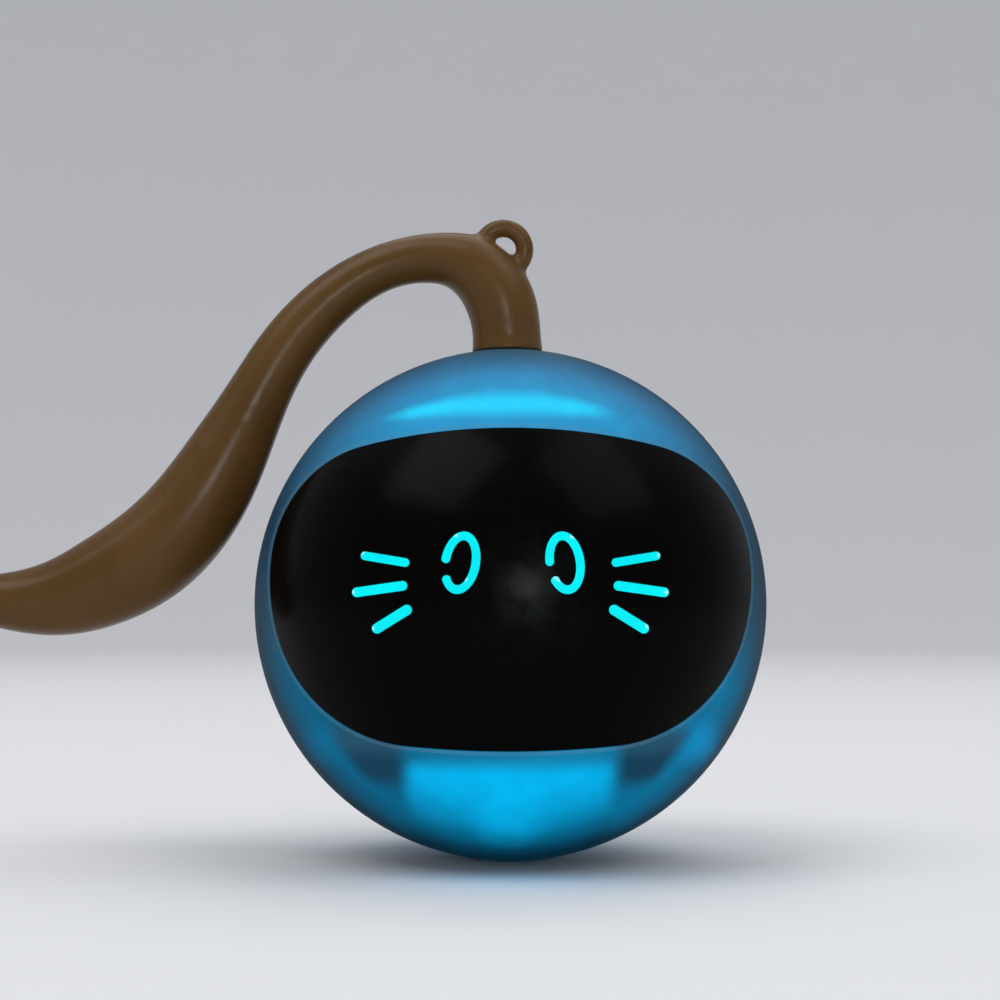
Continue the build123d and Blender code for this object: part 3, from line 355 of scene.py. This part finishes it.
def light_up(tree, shader, tint):
    """Let the surface give off light of its own."""
    feed(tree, tint, shader.inputs["Emission Color"])
    shader.inputs["Emission Strength"].default_value = 1.0


def dress(material, *names):
    """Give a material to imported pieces."""
    for name in names:
        node = frame["nodes"][name]
        if not node.material_slots:
            node.data.materials.append(material)
        for spot in node.material_slots:
            spot.material = material
    print(material.name, "on", ", ".join(names))


print("clouds pass between two tones from", *cloud_change)

# %% [markdown]
# ## The glowing shells
# The shells are frosted, translucent plastic, lit blue from inside by a row of lamps above the
# frame and one below it. Glass with real scattering would need real lamps inside and a long
# render, and it would turn grey in a bright room. So the light that comes through is written down
# as what it is on the surface. It is brightest in front, where the lamps are near, and dies away
# towards the seam: scales of colours say how, for the upper half, the sides and the lower half,
# and one for the window of light at the bottom. They follow the depth, in millimetres behind the
# ball's middle, so the glow stays on the ball from every side. A few stops are enough, because the
# light fades evenly. Behind the seam, a little light comes back where the rear shell faces the
# lamps.

# %% Colours of the glow, from the front to the seam and on to the back
upper_glow = [(-27.0, (43, 160, 217)), (-17.0, (51, 107, 146)), (-8.0, (21, 55, 79)),
              (2.0, (9, 34, 49)), (22.0, (12, 48, 70)), (36.0, (6, 34, 50))]
side_glow = [(-18.0, (34, 68, 89)), (-9.5, (11, 39, 56)), (-1.0, (7, 25, 37)), (36.0, (3, 28, 41))]
lower_glow = [(-33.0, (19, 118, 160)), (-26.5, (7, 90, 124)), (-21.5, (0, 99, 138)),
              (-12.0, (0, 43, 63)), (0.0, (2, 23, 33)), (23.0, (0, 61, 90)), (36.0, (0, 34, 52))]
window_glow = [(-30.0, (0, 179, 239)), (-20.5, (0, 99, 137)), (-16.0, (0, 59, 85)),
               (-12.5, (0, 36, 53)), (0.0, (0, 26, 38))]
print("stops in the scales:", len(upper_glow), len(side_glow), len(lower_glow), len(window_glow))

# %% [markdown]
# The details lie over that glow. The upper row of lamps shows as a crescent that follows the
# opening and gets thinner towards its ends. The lower row shows as a window with straight edges,
# cut off by the frame behind it. Beside the window, the two screw posts throw grey shadows that
# narrow towards the bottom. Beside the posts, the outer lamps of the lower row shine past them
# and make a soft spot at each side, the right one brighter, because the lower lamps sit a little
# to the right.

# %% The crescent
crescent_height = 29.05
crescent_bend = 0.0055
crescent_thinning = 0.004
crescent_squeeze = 0.4


def crescent_mask(tree, right, up):
    squared = calc(tree, "POWER", calc(tree, "ABSOLUTE", right), 2.0)
    straightened = calc(tree, "MULTIPLY_ADD", squared, crescent_bend, up)
    above_middle = calc(tree, "SUBTRACT", straightened, crescent_height)
    thinning = calc(tree, "MULTIPLY_ADD", squared, crescent_thinning, 1.0)
    across = calc(tree, "MULTIPLY", right, crescent_squeeze)
    height = calc(tree, "MULTIPLY", above_middle, thinning)
    return place(tree, soft_patch, Across=across, Up=height, Middle_Across=-0.65, Middle_Up=0.0,
                 Half_Width=4.5, Half_Height=0.15, Blur=2.75).outputs[0]


print("crescent at height", crescent_height)

# %% The window, the shadows of the posts and the side spots
post_height = -22.5
post_half, post_narrowing, post_tip = 2.2, 0.4, 0.4
post_away, post_lean = 19.5, 0.33


def window_mask(tree, right, up):
    return place(tree, soft_patch, Across=right, Up=up, Middle_Across=-0.1, Middle_Up=-34.0,
                 Half_Width=13.2, Half_Height=9.4, Blur=3.5).outputs[0]


def core_mask(tree, right, up):
    return place(tree, soft_patch, Across=right, Up=up, Middle_Across=-0.4, Middle_Up=-29.5,
                 Half_Width=0.8, Half_Height=0.8, Blur=6.8).outputs[0]


def post_mask(tree, sides, up):
    above_middle = calc(tree, "SUBTRACT", up, post_height)
    half = calc(tree, "MULTIPLY_ADD", above_middle, post_narrowing, post_half)
    half = calc(tree, "MAXIMUM", half, post_tip)
    middle = calc(tree, "MULTIPLY_ADD", above_middle, post_lean, post_away)
    return place(tree, soft_patch, Across=sides, Up=up, Middle_Across=middle, Middle_Up=-22.0,
                 Half_Width=half, Half_Height=2.2, Blur=3.3).outputs[0]


def spot_mask(tree, sides, up):
    return place(tree, soft_patch, Across=sides, Up=up, Middle_Across=27.4, Middle_Up=-20.2,
                 Half_Width=0.2, Half_Height=0.2, Blur=5.0).outputs[0]


print("posts at height", post_height, "and", post_away, "from the middle")

# %% [markdown]
# The layers come together one over the other: first the three scales, then the spots, the window,
# the shadows of the posts, a little grey round the tail's foot and the crescent. Two thin layers
# follow the shape of the shell itself. The ledge round the face gets a thin, paler painted
# highlight, and the sunk places on the back, such as the seam, get painted shade. In the values
# below, two numbers say where a change starts and where it ends, in millimetres. Where two more
# follow, they are the strengths that it goes from and to.

# %% Put the glow together
front_fade = (6.0, -8.0)
lower_to_side = (-14.0, 0.0)
side_to_upper = (10.0, 32.0)
lower_tilt = (-28.0, 28.0, 0.86, 1.22)
spot_tilt = (-27.0, 27.0, 0.2, 0.85)
shadow_change = (-23.0, -19.5)
top_grey = (35.5, 39.5)
ledge_outside, ledge_inside, ledge_front = (39.85, 39.75), (39.3, 39.5), (-7.0, -9.0)
ledge_highlight_share = 0.2
sunk_depth, sunk_back = (39.87, 39.6), (-5.0, -2.0)
sunk_shade_share = 0.9
cloud_dimming = (0.25, 0.75, 0.94, 1.05)


def details(tree, right, back, up):
    """The masks, shares and colours of the details. Each one covers those before it."""
    sides = calc(tree, "ABSOLUTE", right)
    spots = calc(tree, "MULTIPLY", spot_mask(tree, sides, up), ramp(tree, right, *spot_tilt))
    window = scale_of_colours(tree, back, window_glow)
    shadow = mixed(tree, ramp(tree, up, *shadow_change), colour(17, 59, 82), colour(36, 78, 104))
    return ((spots, 1.0, colour(0, 132, 186)),
            (window_mask(tree, right, up), 1.0, window),
            (core_mask(tree, right, up), 0.6, colour(0, 181, 240)),
            (post_mask(tree, sides, up), 1.0, shadow),
            (ramp(tree, up, *top_grey), 0.6, colour(60, 92, 106)),
            (crescent_mask(tree, right, up), 1.0, colour(38, 209, 253)))


def shell_glow(tree, spot, surface):
    """The colour of the light that leaves the shell."""
    names = ("Right", "Back", "Up", "Distance")
    right, back, up, distance = (spot.outputs[name] for name in names)
    lower = dimmed(tree, scale_of_colours(tree, back, lower_glow), ramp(tree, right, *lower_tilt))
    middle = scale_of_colours(tree, back, side_glow)
    upper = scale_of_colours(tree, back, upper_glow)
    light = mixed(tree, ramp(tree, up, *lower_to_side), lower, middle)
    light = mixed(tree, ramp(tree, up, *side_to_upper), light, upper)
    front = ramp(tree, back, *front_fade)
    for mask, amount, tint in details(tree, right, back, up):
        shown = calc(tree, "MULTIPLY", calc(tree, "MULTIPLY", mask, front), amount)
        light = mixed(tree, shown, light, tint)
    # A painted highlight: a thin paler line of light on the ledge round the face.
    ledge = ramp(tree, distance, *ledge_outside)
    ledge = calc(tree, "MULTIPLY", ledge, ramp(tree, distance, *ledge_inside))
    ledge = calc(tree, "MULTIPLY", ledge, ramp(tree, back, *ledge_front))
    light = mixed(tree, calc(tree, "MULTIPLY", ledge, ledge_highlight_share), light, colour(104, 140, 160))
    # Painted shade: the light is darkened in the sunk places on the back, such as the seam and
    # holes.
    sunk = calc(tree, "MULTIPLY", ramp(tree, distance, *sunk_depth), ramp(tree, back, *sunk_back))
    light = mixed(tree, calc(tree, "MULTIPLY", sunk, sunk_shade_share), light, colour(0, 12, 18))
    return dimmed(tree, light, ramp(tree, surface.outputs["Clouds"], *cloud_dimming))


print("the details end", front_fade[0], "millimetres behind the ball's middle")

# %% Frosted shell
# The base turns a little paler towards the top, a painted sheen. In front it stays dark under the
# painted glow, and towards the back it turns to a paler blue-grey.
painted_sheen_rise = (-8.0, 30.0)
base_back = (-8.0, 16.0)


def frosted_shell():
    material, tree, shader, edges, surface = begin("frosted shell", 0.5, grain=2600.0,
                                                   clouding=260.0, strength=0.1)
    spot = place(tree, ball_place)
    painted_sheen = ramp(tree, spot.outputs["Up"], *painted_sheen_rise)
    base = mixed(tree, painted_sheen, colour(3, 14, 20), colour(8, 22, 31))
    base = mixed(tree, ramp(tree, spot.outputs["Back"], *base_back), base, colour(56, 89, 105))
    base = corner_wear_and_light(tree, edges, 0.15, base, colour(70, 96, 110))
    feed(tree, base, shader.inputs["Base Color"])
    light_up(tree, shader, shell_glow(tree, spot, surface))
    shader.inputs["Specular IOR Level"].default_value = 0.03
    return material


dress(frosted_shell(), "front_shell", "rear_shell")

# %% [markdown]
# ## The dark window of the face
# The window is smoked acrylic, almost black, with a polish. A faint painted reflection of a lamp
# in its middle is the only thing that shows its curve there. It is a soft patch broken up by
# noise, and it lifts the colour a little. The same clouds vary the polish over the whole window.

# %% Smoked window
# A painted reflection in two layers: a wide faint patch and a small brighter one, by reach and
# colour.
reflection_right, reflection_up = 2.6, 2.2
painted_reflections = ((15.0, colour(10, 11, 12)), (6.5, colour(24, 29, 31)))


def smoked_window():
    material, tree, shader, _, surface = begin("smoked window", 0.22, grain=900.0,
                                               clouding=380.0, bump=0.01 * MM, strength=0.05)
    spot = place(tree, ball_place)
    tint = colour(2, 2, 2)
    for reach, reflection_tint in painted_reflections:
        reflection = place(tree, soft_patch, Across=spot.outputs["Right"], Up=spot.outputs["Up"],
                     Middle_Across=reflection_right, Middle_Up=reflection_up, Half_Width=0.2, Half_Height=0.6,
                     Blur=reach).outputs[0]
        reflection = calc(tree, "MULTIPLY", reflection, ramp(tree, surface.outputs["Clouds"], 0.25, 0.75))
        tint = mixed(tree, reflection, tint, reflection_tint)
    feed(tree, tint, shader.inputs["Base Color"])
    vary_polish(tree, shader, surface.outputs["Clouds"], 0.3, 0.8, 0.2, 0.27)
    shader.inputs["Specular IOR Level"].default_value = 0.04
    return material


dress(smoked_window(), "face_lens")

# %% [markdown]
# ## The lit strokes
# The eyes and whiskers are one clear light guide, whose raised strokes fill slots in the dark
# window. Only their frosted tips let the light out, so the glow fades with the depth below the
# tips and the strokes keep crisp edges. Where a tip's rounded end would catch the light of a room
# lamp, a tiny white glint is painted into its light, a painted highlight. The glints sit at the
# ends and shoulders of the strokes, written as places on the face.

# %% Lit light guide
stroke_tip = 39.6
glow_starts, glow_full = stroke_tip - 0.7, stroke_tip - 0.2
# Places of the painted highlights on the face, across and up, in millimetres.
painted_glints = [(-7.6, 9.7), (-6.2, 3.6), (8.6, 9.5), (6.7, 3.5), (6.2, 3.8), (-20.9, 7.4),
          (21.0, 7.1), (-22.3, 1.8), (22.0, 1.8), (-19.4, -3.3), (19.2, -3.0)]
glint_blur = 0.42
glint_share = 0.7


def lit_guide():
    material, tree, shader, _, surface = begin("lit light guide", 0.3, clouding=200.0,
                                               strength=0.05)
    spot = place(tree, ball_place)
    right, up = spot.outputs["Right"], spot.outputs["Up"]
    glow = clouded(tree, surface, colour(0, 232, 242), colour(0, 243, 251))
    for across, height in painted_glints:
        glint = place(tree, soft_patch, Across=right, Up=up, Middle_Across=across,
                      Middle_Up=height, Half_Width=0.02, Half_Height=0.02, Blur=glint_blur)
        share = calc(tree, "MULTIPLY", glint.outputs[0], glint_share)
        glow = mixed(tree, share, glow, colour(200, 252, 255))
    depth = ramp(tree, spot.outputs["Distance"], glow_starts, glow_full)
    light_up(tree, shader, mixed(tree, depth, colour(0, 24, 27), glow))
    shader.inputs["Base Color"].default_value = colour(0, 30, 34)
    shader.inputs["Specular IOR Level"].default_value = 0.1
    return material


dress(lit_guide(), "face_light_guide")

# %% [markdown]
# ## The silicone tail
# The tail is one soft casting round a stiff core, with a ring for a cord grown out of its bend.
# In the construction the ring simply crosses the tail. A casting has a small hollow fillet there,
# as every mould has. To get it, a copy of the tail is remeshed to even, small faces, and then
# only the creases near the ring are filled: a point moves to the mean of its neighbours if that
# mean lies outside the surface. Round stretches stay as they are, because there the mean lies
# inside.

# %% Copy the tail and remesh it
tail_face = 0.27 * MM


def remeshed(source, name, face):
    skin = bpy.data.objects.new(name, source.data.copy())
    bpy.context.scene.collection.objects.link(skin)
    remesh = skin.modifiers.new("even faces", "REMESH")
    remesh.mode = "VOXEL"
    remesh.voxel_size = face
    graph = bpy.context.evaluated_depsgraph_get()
    mesh = bpy.data.meshes.new_from_object(skin.evaluated_get(graph))
    skin.modifiers.clear()
    skin.data = mesh
    return skin


tail_skin = remeshed(frame["nodes"]["tail"], "tail_skin", tail_face)
mounts = {mount["name"]: mount["pos_m"] for mount in frame["record"]["mounts"]}
ring_middle = mounts["tail_loop"]
print("faces in the tail:", len(tail_skin.data.polygons), "ring at", ring_middle)

# %% Fill the creases and settle the surface
first_steps = 14
crease_steps = 60
last_steps = 4
crease_reach = 8.0 * MM
crease_fade = 2.0 * MM
foot_height = 0.7 * MM
pull = 0.5


def relax(mesh, steps, middle=None):
    """Move points towards the mean of their neighbours. With a middle, only the creases near
    it move. The foot keeps its crisp edge, because points close to the ball are held."""
    count = len(mesh.vertices)
    points = np.empty(count * 3)
    mesh.vertices.foreach_get("co", points)
    points = points.reshape(-1, 3)
    ends = np.empty(len(mesh.edges) * 2, dtype=np.int64)
    mesh.edges.foreach_get("vertices", ends)
    first, second = ends.reshape(-1, 2).T
    neighbours = np.bincount(ends, minlength=count).reshape(-1, 1)
    above_ball = np.linalg.norm(points - np.array(ball_centre), axis=1).reshape(-1, 1) - ball_r
    near = np.clip((above_ball - foot_height) / foot_height, 0.0, 1.0)
    if middle is not None:
        away = np.linalg.norm(points - np.array(middle), axis=1).reshape(-1, 1)
        near = np.clip((crease_reach - away) / crease_fade, 0.0, 1.0)
    normals = np.empty(count * 3)
    for _ in range(steps):
        sums = [np.bincount(first, points[second, axis], count)
                + np.bincount(second, points[first, axis], count) for axis in range(3)]
        move = np.stack(sums, axis=1) / neighbours - points
        if middle is not None:
            mesh.vertices.foreach_set("co", points.ravel())
            mesh.update()
            mesh.vertex_normals.foreach_get("vector", normals)
            outward = (move * normals.reshape(-1, 3)).sum(axis=1, keepdims=True)
            move = np.where(outward > 0.0, move, 0.0)
        points += pull * near * move
    mesh.vertices.foreach_set("co", points.ravel())
    mesh.update()


relax(tail_skin.data, first_steps)
relax(tail_skin.data, crease_steps, ring_middle)
relax(tail_skin.data, last_steps)
tail_skin.data.shade_smooth()
print("tail relaxed in steps:", first_steps, crease_steps, last_steps)

# %% [markdown]
# ## Silicone
# Silicone is satin: it takes broad highlights with soft ends. Its colour is even, with slight
# clouding, and the mould leaves a fine line along the middle of the tail. The line is a thin
# ridge in the bump.

# %% Brown silicone
line_half, line_core = 0.16, 0.04
line_height = 0.04 * MM
line_strength = 0.25


def silicone(name, deep, pale, corner, seam=False):
    material, tree, shader, _, surface = begin(name, 0.34, edge=corner, grain=1500.0,
                                               clouding=60.0, strength=0.1)
    feed(tree, clouded(tree, surface, deep, pale), shader.inputs["Base Color"])
    vary_polish(tree, shader, surface.outputs["Clouds"], 0.25, 0.75, 0.24, 0.32)
    if seam:
        spot = place(tree, ball_place)
        line = ramp(tree, calc(tree, "ABSOLUTE", spot.outputs["Back"]), line_half, line_core)
        emboss(tree, shader, line, line_height, line_strength)
    shader.inputs["Specular IOR Level"].default_value = 0.2
    return material


brown_silicone = silicone("brown silicone", colour(87, 61, 26), colour(98, 70, 32), 0.01 * MM,
                          seam=True)
tail_skin.data.materials.clear()
tail_skin.data.materials.append(brown_silicone)
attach(tail_skin, "tail_swivel")
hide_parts("tail")

# %% [markdown]
# ## The pieces on the back
# The port's cover is soft silicone in the shell's own blue-grey. The button is moulded in the
# shell's plastic, so a little of the same light comes through it, most of it in the middle, where
# it is thin.

# %% Port cover
dress(silicone("blue grey silicone", colour(52, 92, 112), colour(60, 102, 122), 0.15 * MM),
      "port_cover_flap", "port_cover_anchor")

# %% Button
button_height = 7.0


def frosted_button():
    material, tree, shader, edges, _ = begin("frosted button", 0.34, grain=2600.0, strength=0.12)
    shader.inputs["Base Color"].default_value = colour(62, 98, 118)
    spot = place(tree, ball_place)
    middle = place(tree, soft_patch, Across=spot.outputs["Right"], Up=spot.outputs["Up"],
                   Middle_Across=0.0, Middle_Up=button_height, Half_Width=0.1, Half_Height=0.1,
                   Blur=4.6).outputs[0]
    glow = mixed(tree, middle, colour(6, 34, 52), colour(18, 84, 122))
    # The corners give off a paler painted light.
    light_up(tree, shader, corner_wear_and_light(tree, edges, 0.5, glow, colour(60, 120, 150)))
    return material


dress(frosted_button(), "power_button")

# %% [markdown]
# ## Metals inside
# Steel, zinc, brass and the motor's can share one function. Turned metal has a fine, shallow
# grain, cast zinc has a coarser and deeper one, and all of them are brighter where their corners
# are rubbed.

# %% Metals
def metal(name, dull, bright, roughness, grain, strength):
    material, tree, shader, edges, surface = begin(name, roughness, 1.0, grain=grain,
                                                   clouding=400.0, strength=strength)
    tone = clouded(tree, surface, dull, bright)
    feed(tree, corner_wear_and_light(tree, edges, 0.6, tone, bright), shader.inputs["Base Color"])
    low, high = roughness - 0.06, roughness + 0.08
    vary_polish(tree, shader, surface.outputs["Clouds"], 0.2, 0.8, low, high)
    return material


dress(metal("bright steel", colour(176, 178, 180), colour(206, 207, 208), 0.28, 3000.0, 0.1),
      "axle", "axle_clips", "gear_pins", "motor_shaft", "usb_socket")
dress(metal("zinc plated screw", colour(160, 162, 165), colour(196, 197, 199), 0.34, 2500.0, 0.15),
      "shell_screws", "face_board_screws", "chassis_screws", "board_screws")
dress(metal("cast zinc", colour(142, 144, 148), colour(168, 170, 174), 0.5, 1200.0, 0.5),
      "weight_left", "weight_right")
dress(metal("turned brass", colour(196, 158, 88), colour(222, 186, 116), 0.3, 3000.0, 0.1),
      "axle_bushes", "motor_pinion")
dress(metal("motor can", colour(186, 187, 190), colour(206, 207, 210), 0.26, 2200.0, 0.08),
      "drive_motor")

# %% [markdown]
# ## Plastics inside
# Moulded plastic has a spark-eroded tooth and paler corners. The frame is off-white, the light
# box and switch are black so that no light leaks, and the gears are cream, which is their
# plastic's own colour.

# %% Moulded plastics
def moulded(name, deep, pale, roughness):
    material, tree, shader, edges, surface = begin(name, roughness, grain=1400.0, clouding=150.0)
    tone = clouded(tree, surface, deep, pale)
    feed(tree, corner_wear_and_light(tree, edges, 0.4, tone, pale), shader.inputs["Base Color"])
    low, high = roughness - 0.05, roughness + 0.05
    vary_polish(tree, shader, surface.outputs["Height"], 0.3, 0.7, low, high)
    return material


dress(moulded("frame plastic", colour(206, 208, 210), colour(220, 221, 222), 0.5),
      "chassis_left", "chassis_right")
dress(moulded("black plastic", colour(22, 22, 24), colour(40, 40, 43), 0.45),
      "face_light_housing", "tact_switch", "switch_plunger", "tail_stem")
dress(moulded("gear plastic", colour(222, 214, 196), colour(236, 230, 214), 0.38),
      "first_gear", "second_gear", "output_gear")
dress(moulded("chip resin", colour(18, 18, 19), colour(30, 30, 32), 0.6), "board_chips")
dress(moulded("red insulation", colour(168, 26, 22), colour(190, 40, 34), 0.4), "battery_leads")
dress(moulded("white insulation", colour(212, 212, 208), colour(226, 226, 222), 0.4),
      "motor_leads", "face_leads")

# %% [markdown]
# ## Boards, lamps and cell
# Boards are green lacquer over copper, and the tracks show as slightly paler lines. A cell
# pattern with right-angled distances gives such lines without drawing each one. The lamps are
# small white cases with a yellow lens in the middle, and the cell is a foil pouch with shallow
# creases.

# %% Circuit board
track_scale = 420.0
track_rings = 3.0
track_from, track_to = 0.33, 0.40
track_height = 0.03 * MM
track_strength = 0.4


def circuit_board():
    material, tree, shader, edges, _ = begin("circuit board", 0.35, strength=0.05)
    where = add(tree, "ShaderNodeTexCoord").outputs["Object"]
    cells = add(tree, "ShaderNodeTexVoronoi", distance="MANHATTAN", feature="F1")
    feed(tree, where, cells.inputs["Vector"])
    cells.inputs["Scale"].default_value = track_scale
    rings = calc(tree, "MULTIPLY", cells.outputs["Distance"], track_rings)
    track = ramp(tree, calc(tree, "PINGPONG", rings, 0.5), track_from, track_to)
    green = mixed(tree, track, colour(14, 66, 36), colour(30, 98, 54))
    feed(tree, corner_wear_and_light(tree, edges, 0.6, green, colour(150, 140, 96)), shader.inputs["Base Color"])
    emboss(tree, shader, track, track_height, track_strength)
    return material


dress(circuit_board(), "face_led_board", "upper_light_board", "lower_light_board", "main_board")

# %% Lamps
def lamp_case():
    material, tree, shader, edges, _ = begin("lamp case", 0.3, strength=0.05)
    body = mixed(tree, edges.outputs["Wear"], colour(226, 206, 116), colour(238, 238, 234))
    feed(tree, body, shader.inputs["Base Color"])
    glow = mixed(tree, edges.outputs["Wear"], colour(0, 110, 150), colour(0, 30, 44))
    light_up(tree, shader, glow)
    return material


dress(lamp_case(), "face_leds", "upper_leds", "lower_leds")

# %% Foil cell
tape_edge = (-11.6, -11.8)


def foil_pouch():
    material, tree, shader, _, surface = begin("foil pouch", 0.42, 0.6, grain=260.0,
                                               clouding=500.0, bump=0.15 * MM, strength=0.5)
    spot = place(tree, ball_place)
    tape = ramp(tree, spot.outputs["Back"], *tape_edge)
    foil = clouded(tree, surface, colour(176, 180, 184), colour(200, 204, 208))
    feed(tree, mixed(tree, tape, foil, colour(196, 140, 34)), shader.inputs["Base Color"])
    return material


dress(foil_pouch(), "battery")

# %% [markdown]
# ## Floor, room and lamps
# The object stands in the middle of a wide, pale bowl of card: a flat floor that curves up into a
# wall all round, so no line crosses the picture from any side. Its mesh is a profile turned about
# the upright axis. The camera sees the card a little paler than the ball does, so the card can be
# bright without lighting the dark window. Light comes from the whole pale room, from three large,
# soft lamps and from a small one in front, which puts the glint on the tail's root. They are set
# so that a mid grey renders about as grey as it is written, which keeps the colours true in any
# other light too.

# %% The bowl of card
floor_radius = 1.5
floor_rings = (0.1, 0.4, 0.7)
turn_radius = 1.2
wall_height = 2.6
turn_steps = 20
round_steps = 96


def card_bowl():
    profile = [(floor_radius * share, 0.0) for share in floor_rings]
    for step in range(turn_steps + 1):
        angle = radians(90 * step / turn_steps)
        profile.append((floor_radius + turn_radius * sin(angle), turn_radius * (1 - cos(angle))))
    profile.append((floor_radius + turn_radius, wall_height))
    points = [(0.0, 0.0, 0.0)]
    for step in range(round_steps):
        angle = radians(360 * step / round_steps)
        points += [(out * cos(angle), out * sin(angle), up) for out, up in profile]
    row = len(profile)
    faces = []
    for step in range(round_steps):
        here, there = 1 + step * row, 1 + (step + 1) % round_steps * row
        faces.append((0, here, there))
        faces += [(here + i, here + i + 1, there + i + 1, there + i) for i in range(row - 1)]
    mesh = bpy.data.meshes.new("card_bowl")
    mesh.from_pydata(points, [], faces)
    mesh.shade_smooth()
    bowl = bpy.data.objects.new("card_bowl", mesh)
    bpy.context.scene.collection.objects.link(bowl)
    return bowl


card = card_bowl()
card_paint = bpy.data.materials.new("pale card")
card_paint.use_nodes = True
card_tree = card_paint.node_tree
card_shader = card_tree.nodes["Principled BSDF"]
seen = add(card_tree, "ShaderNodeLightPath").outputs["Is Camera Ray"]
card_colour = mixed(card_tree, seen, colour(226, 227, 229), colour(238, 239, 241))
feed(card_tree, card_colour, card_shader.inputs["Base Color"])
card_shader.inputs["Roughness"].default_value = 0.9
card_shader.inputs["Specular IOR Level"].default_value = 0.1
card.data.materials.append(card_paint)
print("card faces:", len(card.data.polygons))

# %% The room and the lamps
room_strength = 0.5
room = bpy.data.worlds.new("pale room")
room.use_nodes = True
room.node_tree.nodes["Background"].inputs["Color"].default_value = colour(250, 251, 255)
room.node_tree.nodes["Background"].inputs["Strength"].default_value = room_strength
bpy.context.scene.world = room


def lamp(name, position, size, power, spread=180):
    """A square lamp that faces the ball. A small spread keeps its light off the floor."""
    light = bpy.data.lights.new(name, "AREA")
    light.size = size
    light.spread = radians(spread)
    light.energy = power
    holder = bpy.data.objects.new(name, light)
    holder.location = position
    holder.rotation_euler = (ball_centre - Vector(position)).to_track_quat("-Z", "Y").to_euler()
    bpy.context.scene.collection.objects.link(holder)
    print(name, "at", position, "power", power)


lamp("key_lamp", (-0.75, -0.6, 1.6), 1.1, 9.0)
lamp("fill_lamp", (0.95, -0.55, 1.5), 1.1, 5.0)
lamp("top_lamp", (0.1, 0.5, 1.5), 1.2, 5.0)
lamp("front_lamp", (0.126, -0.95, 0.17), 0.16, 0.11, 60)
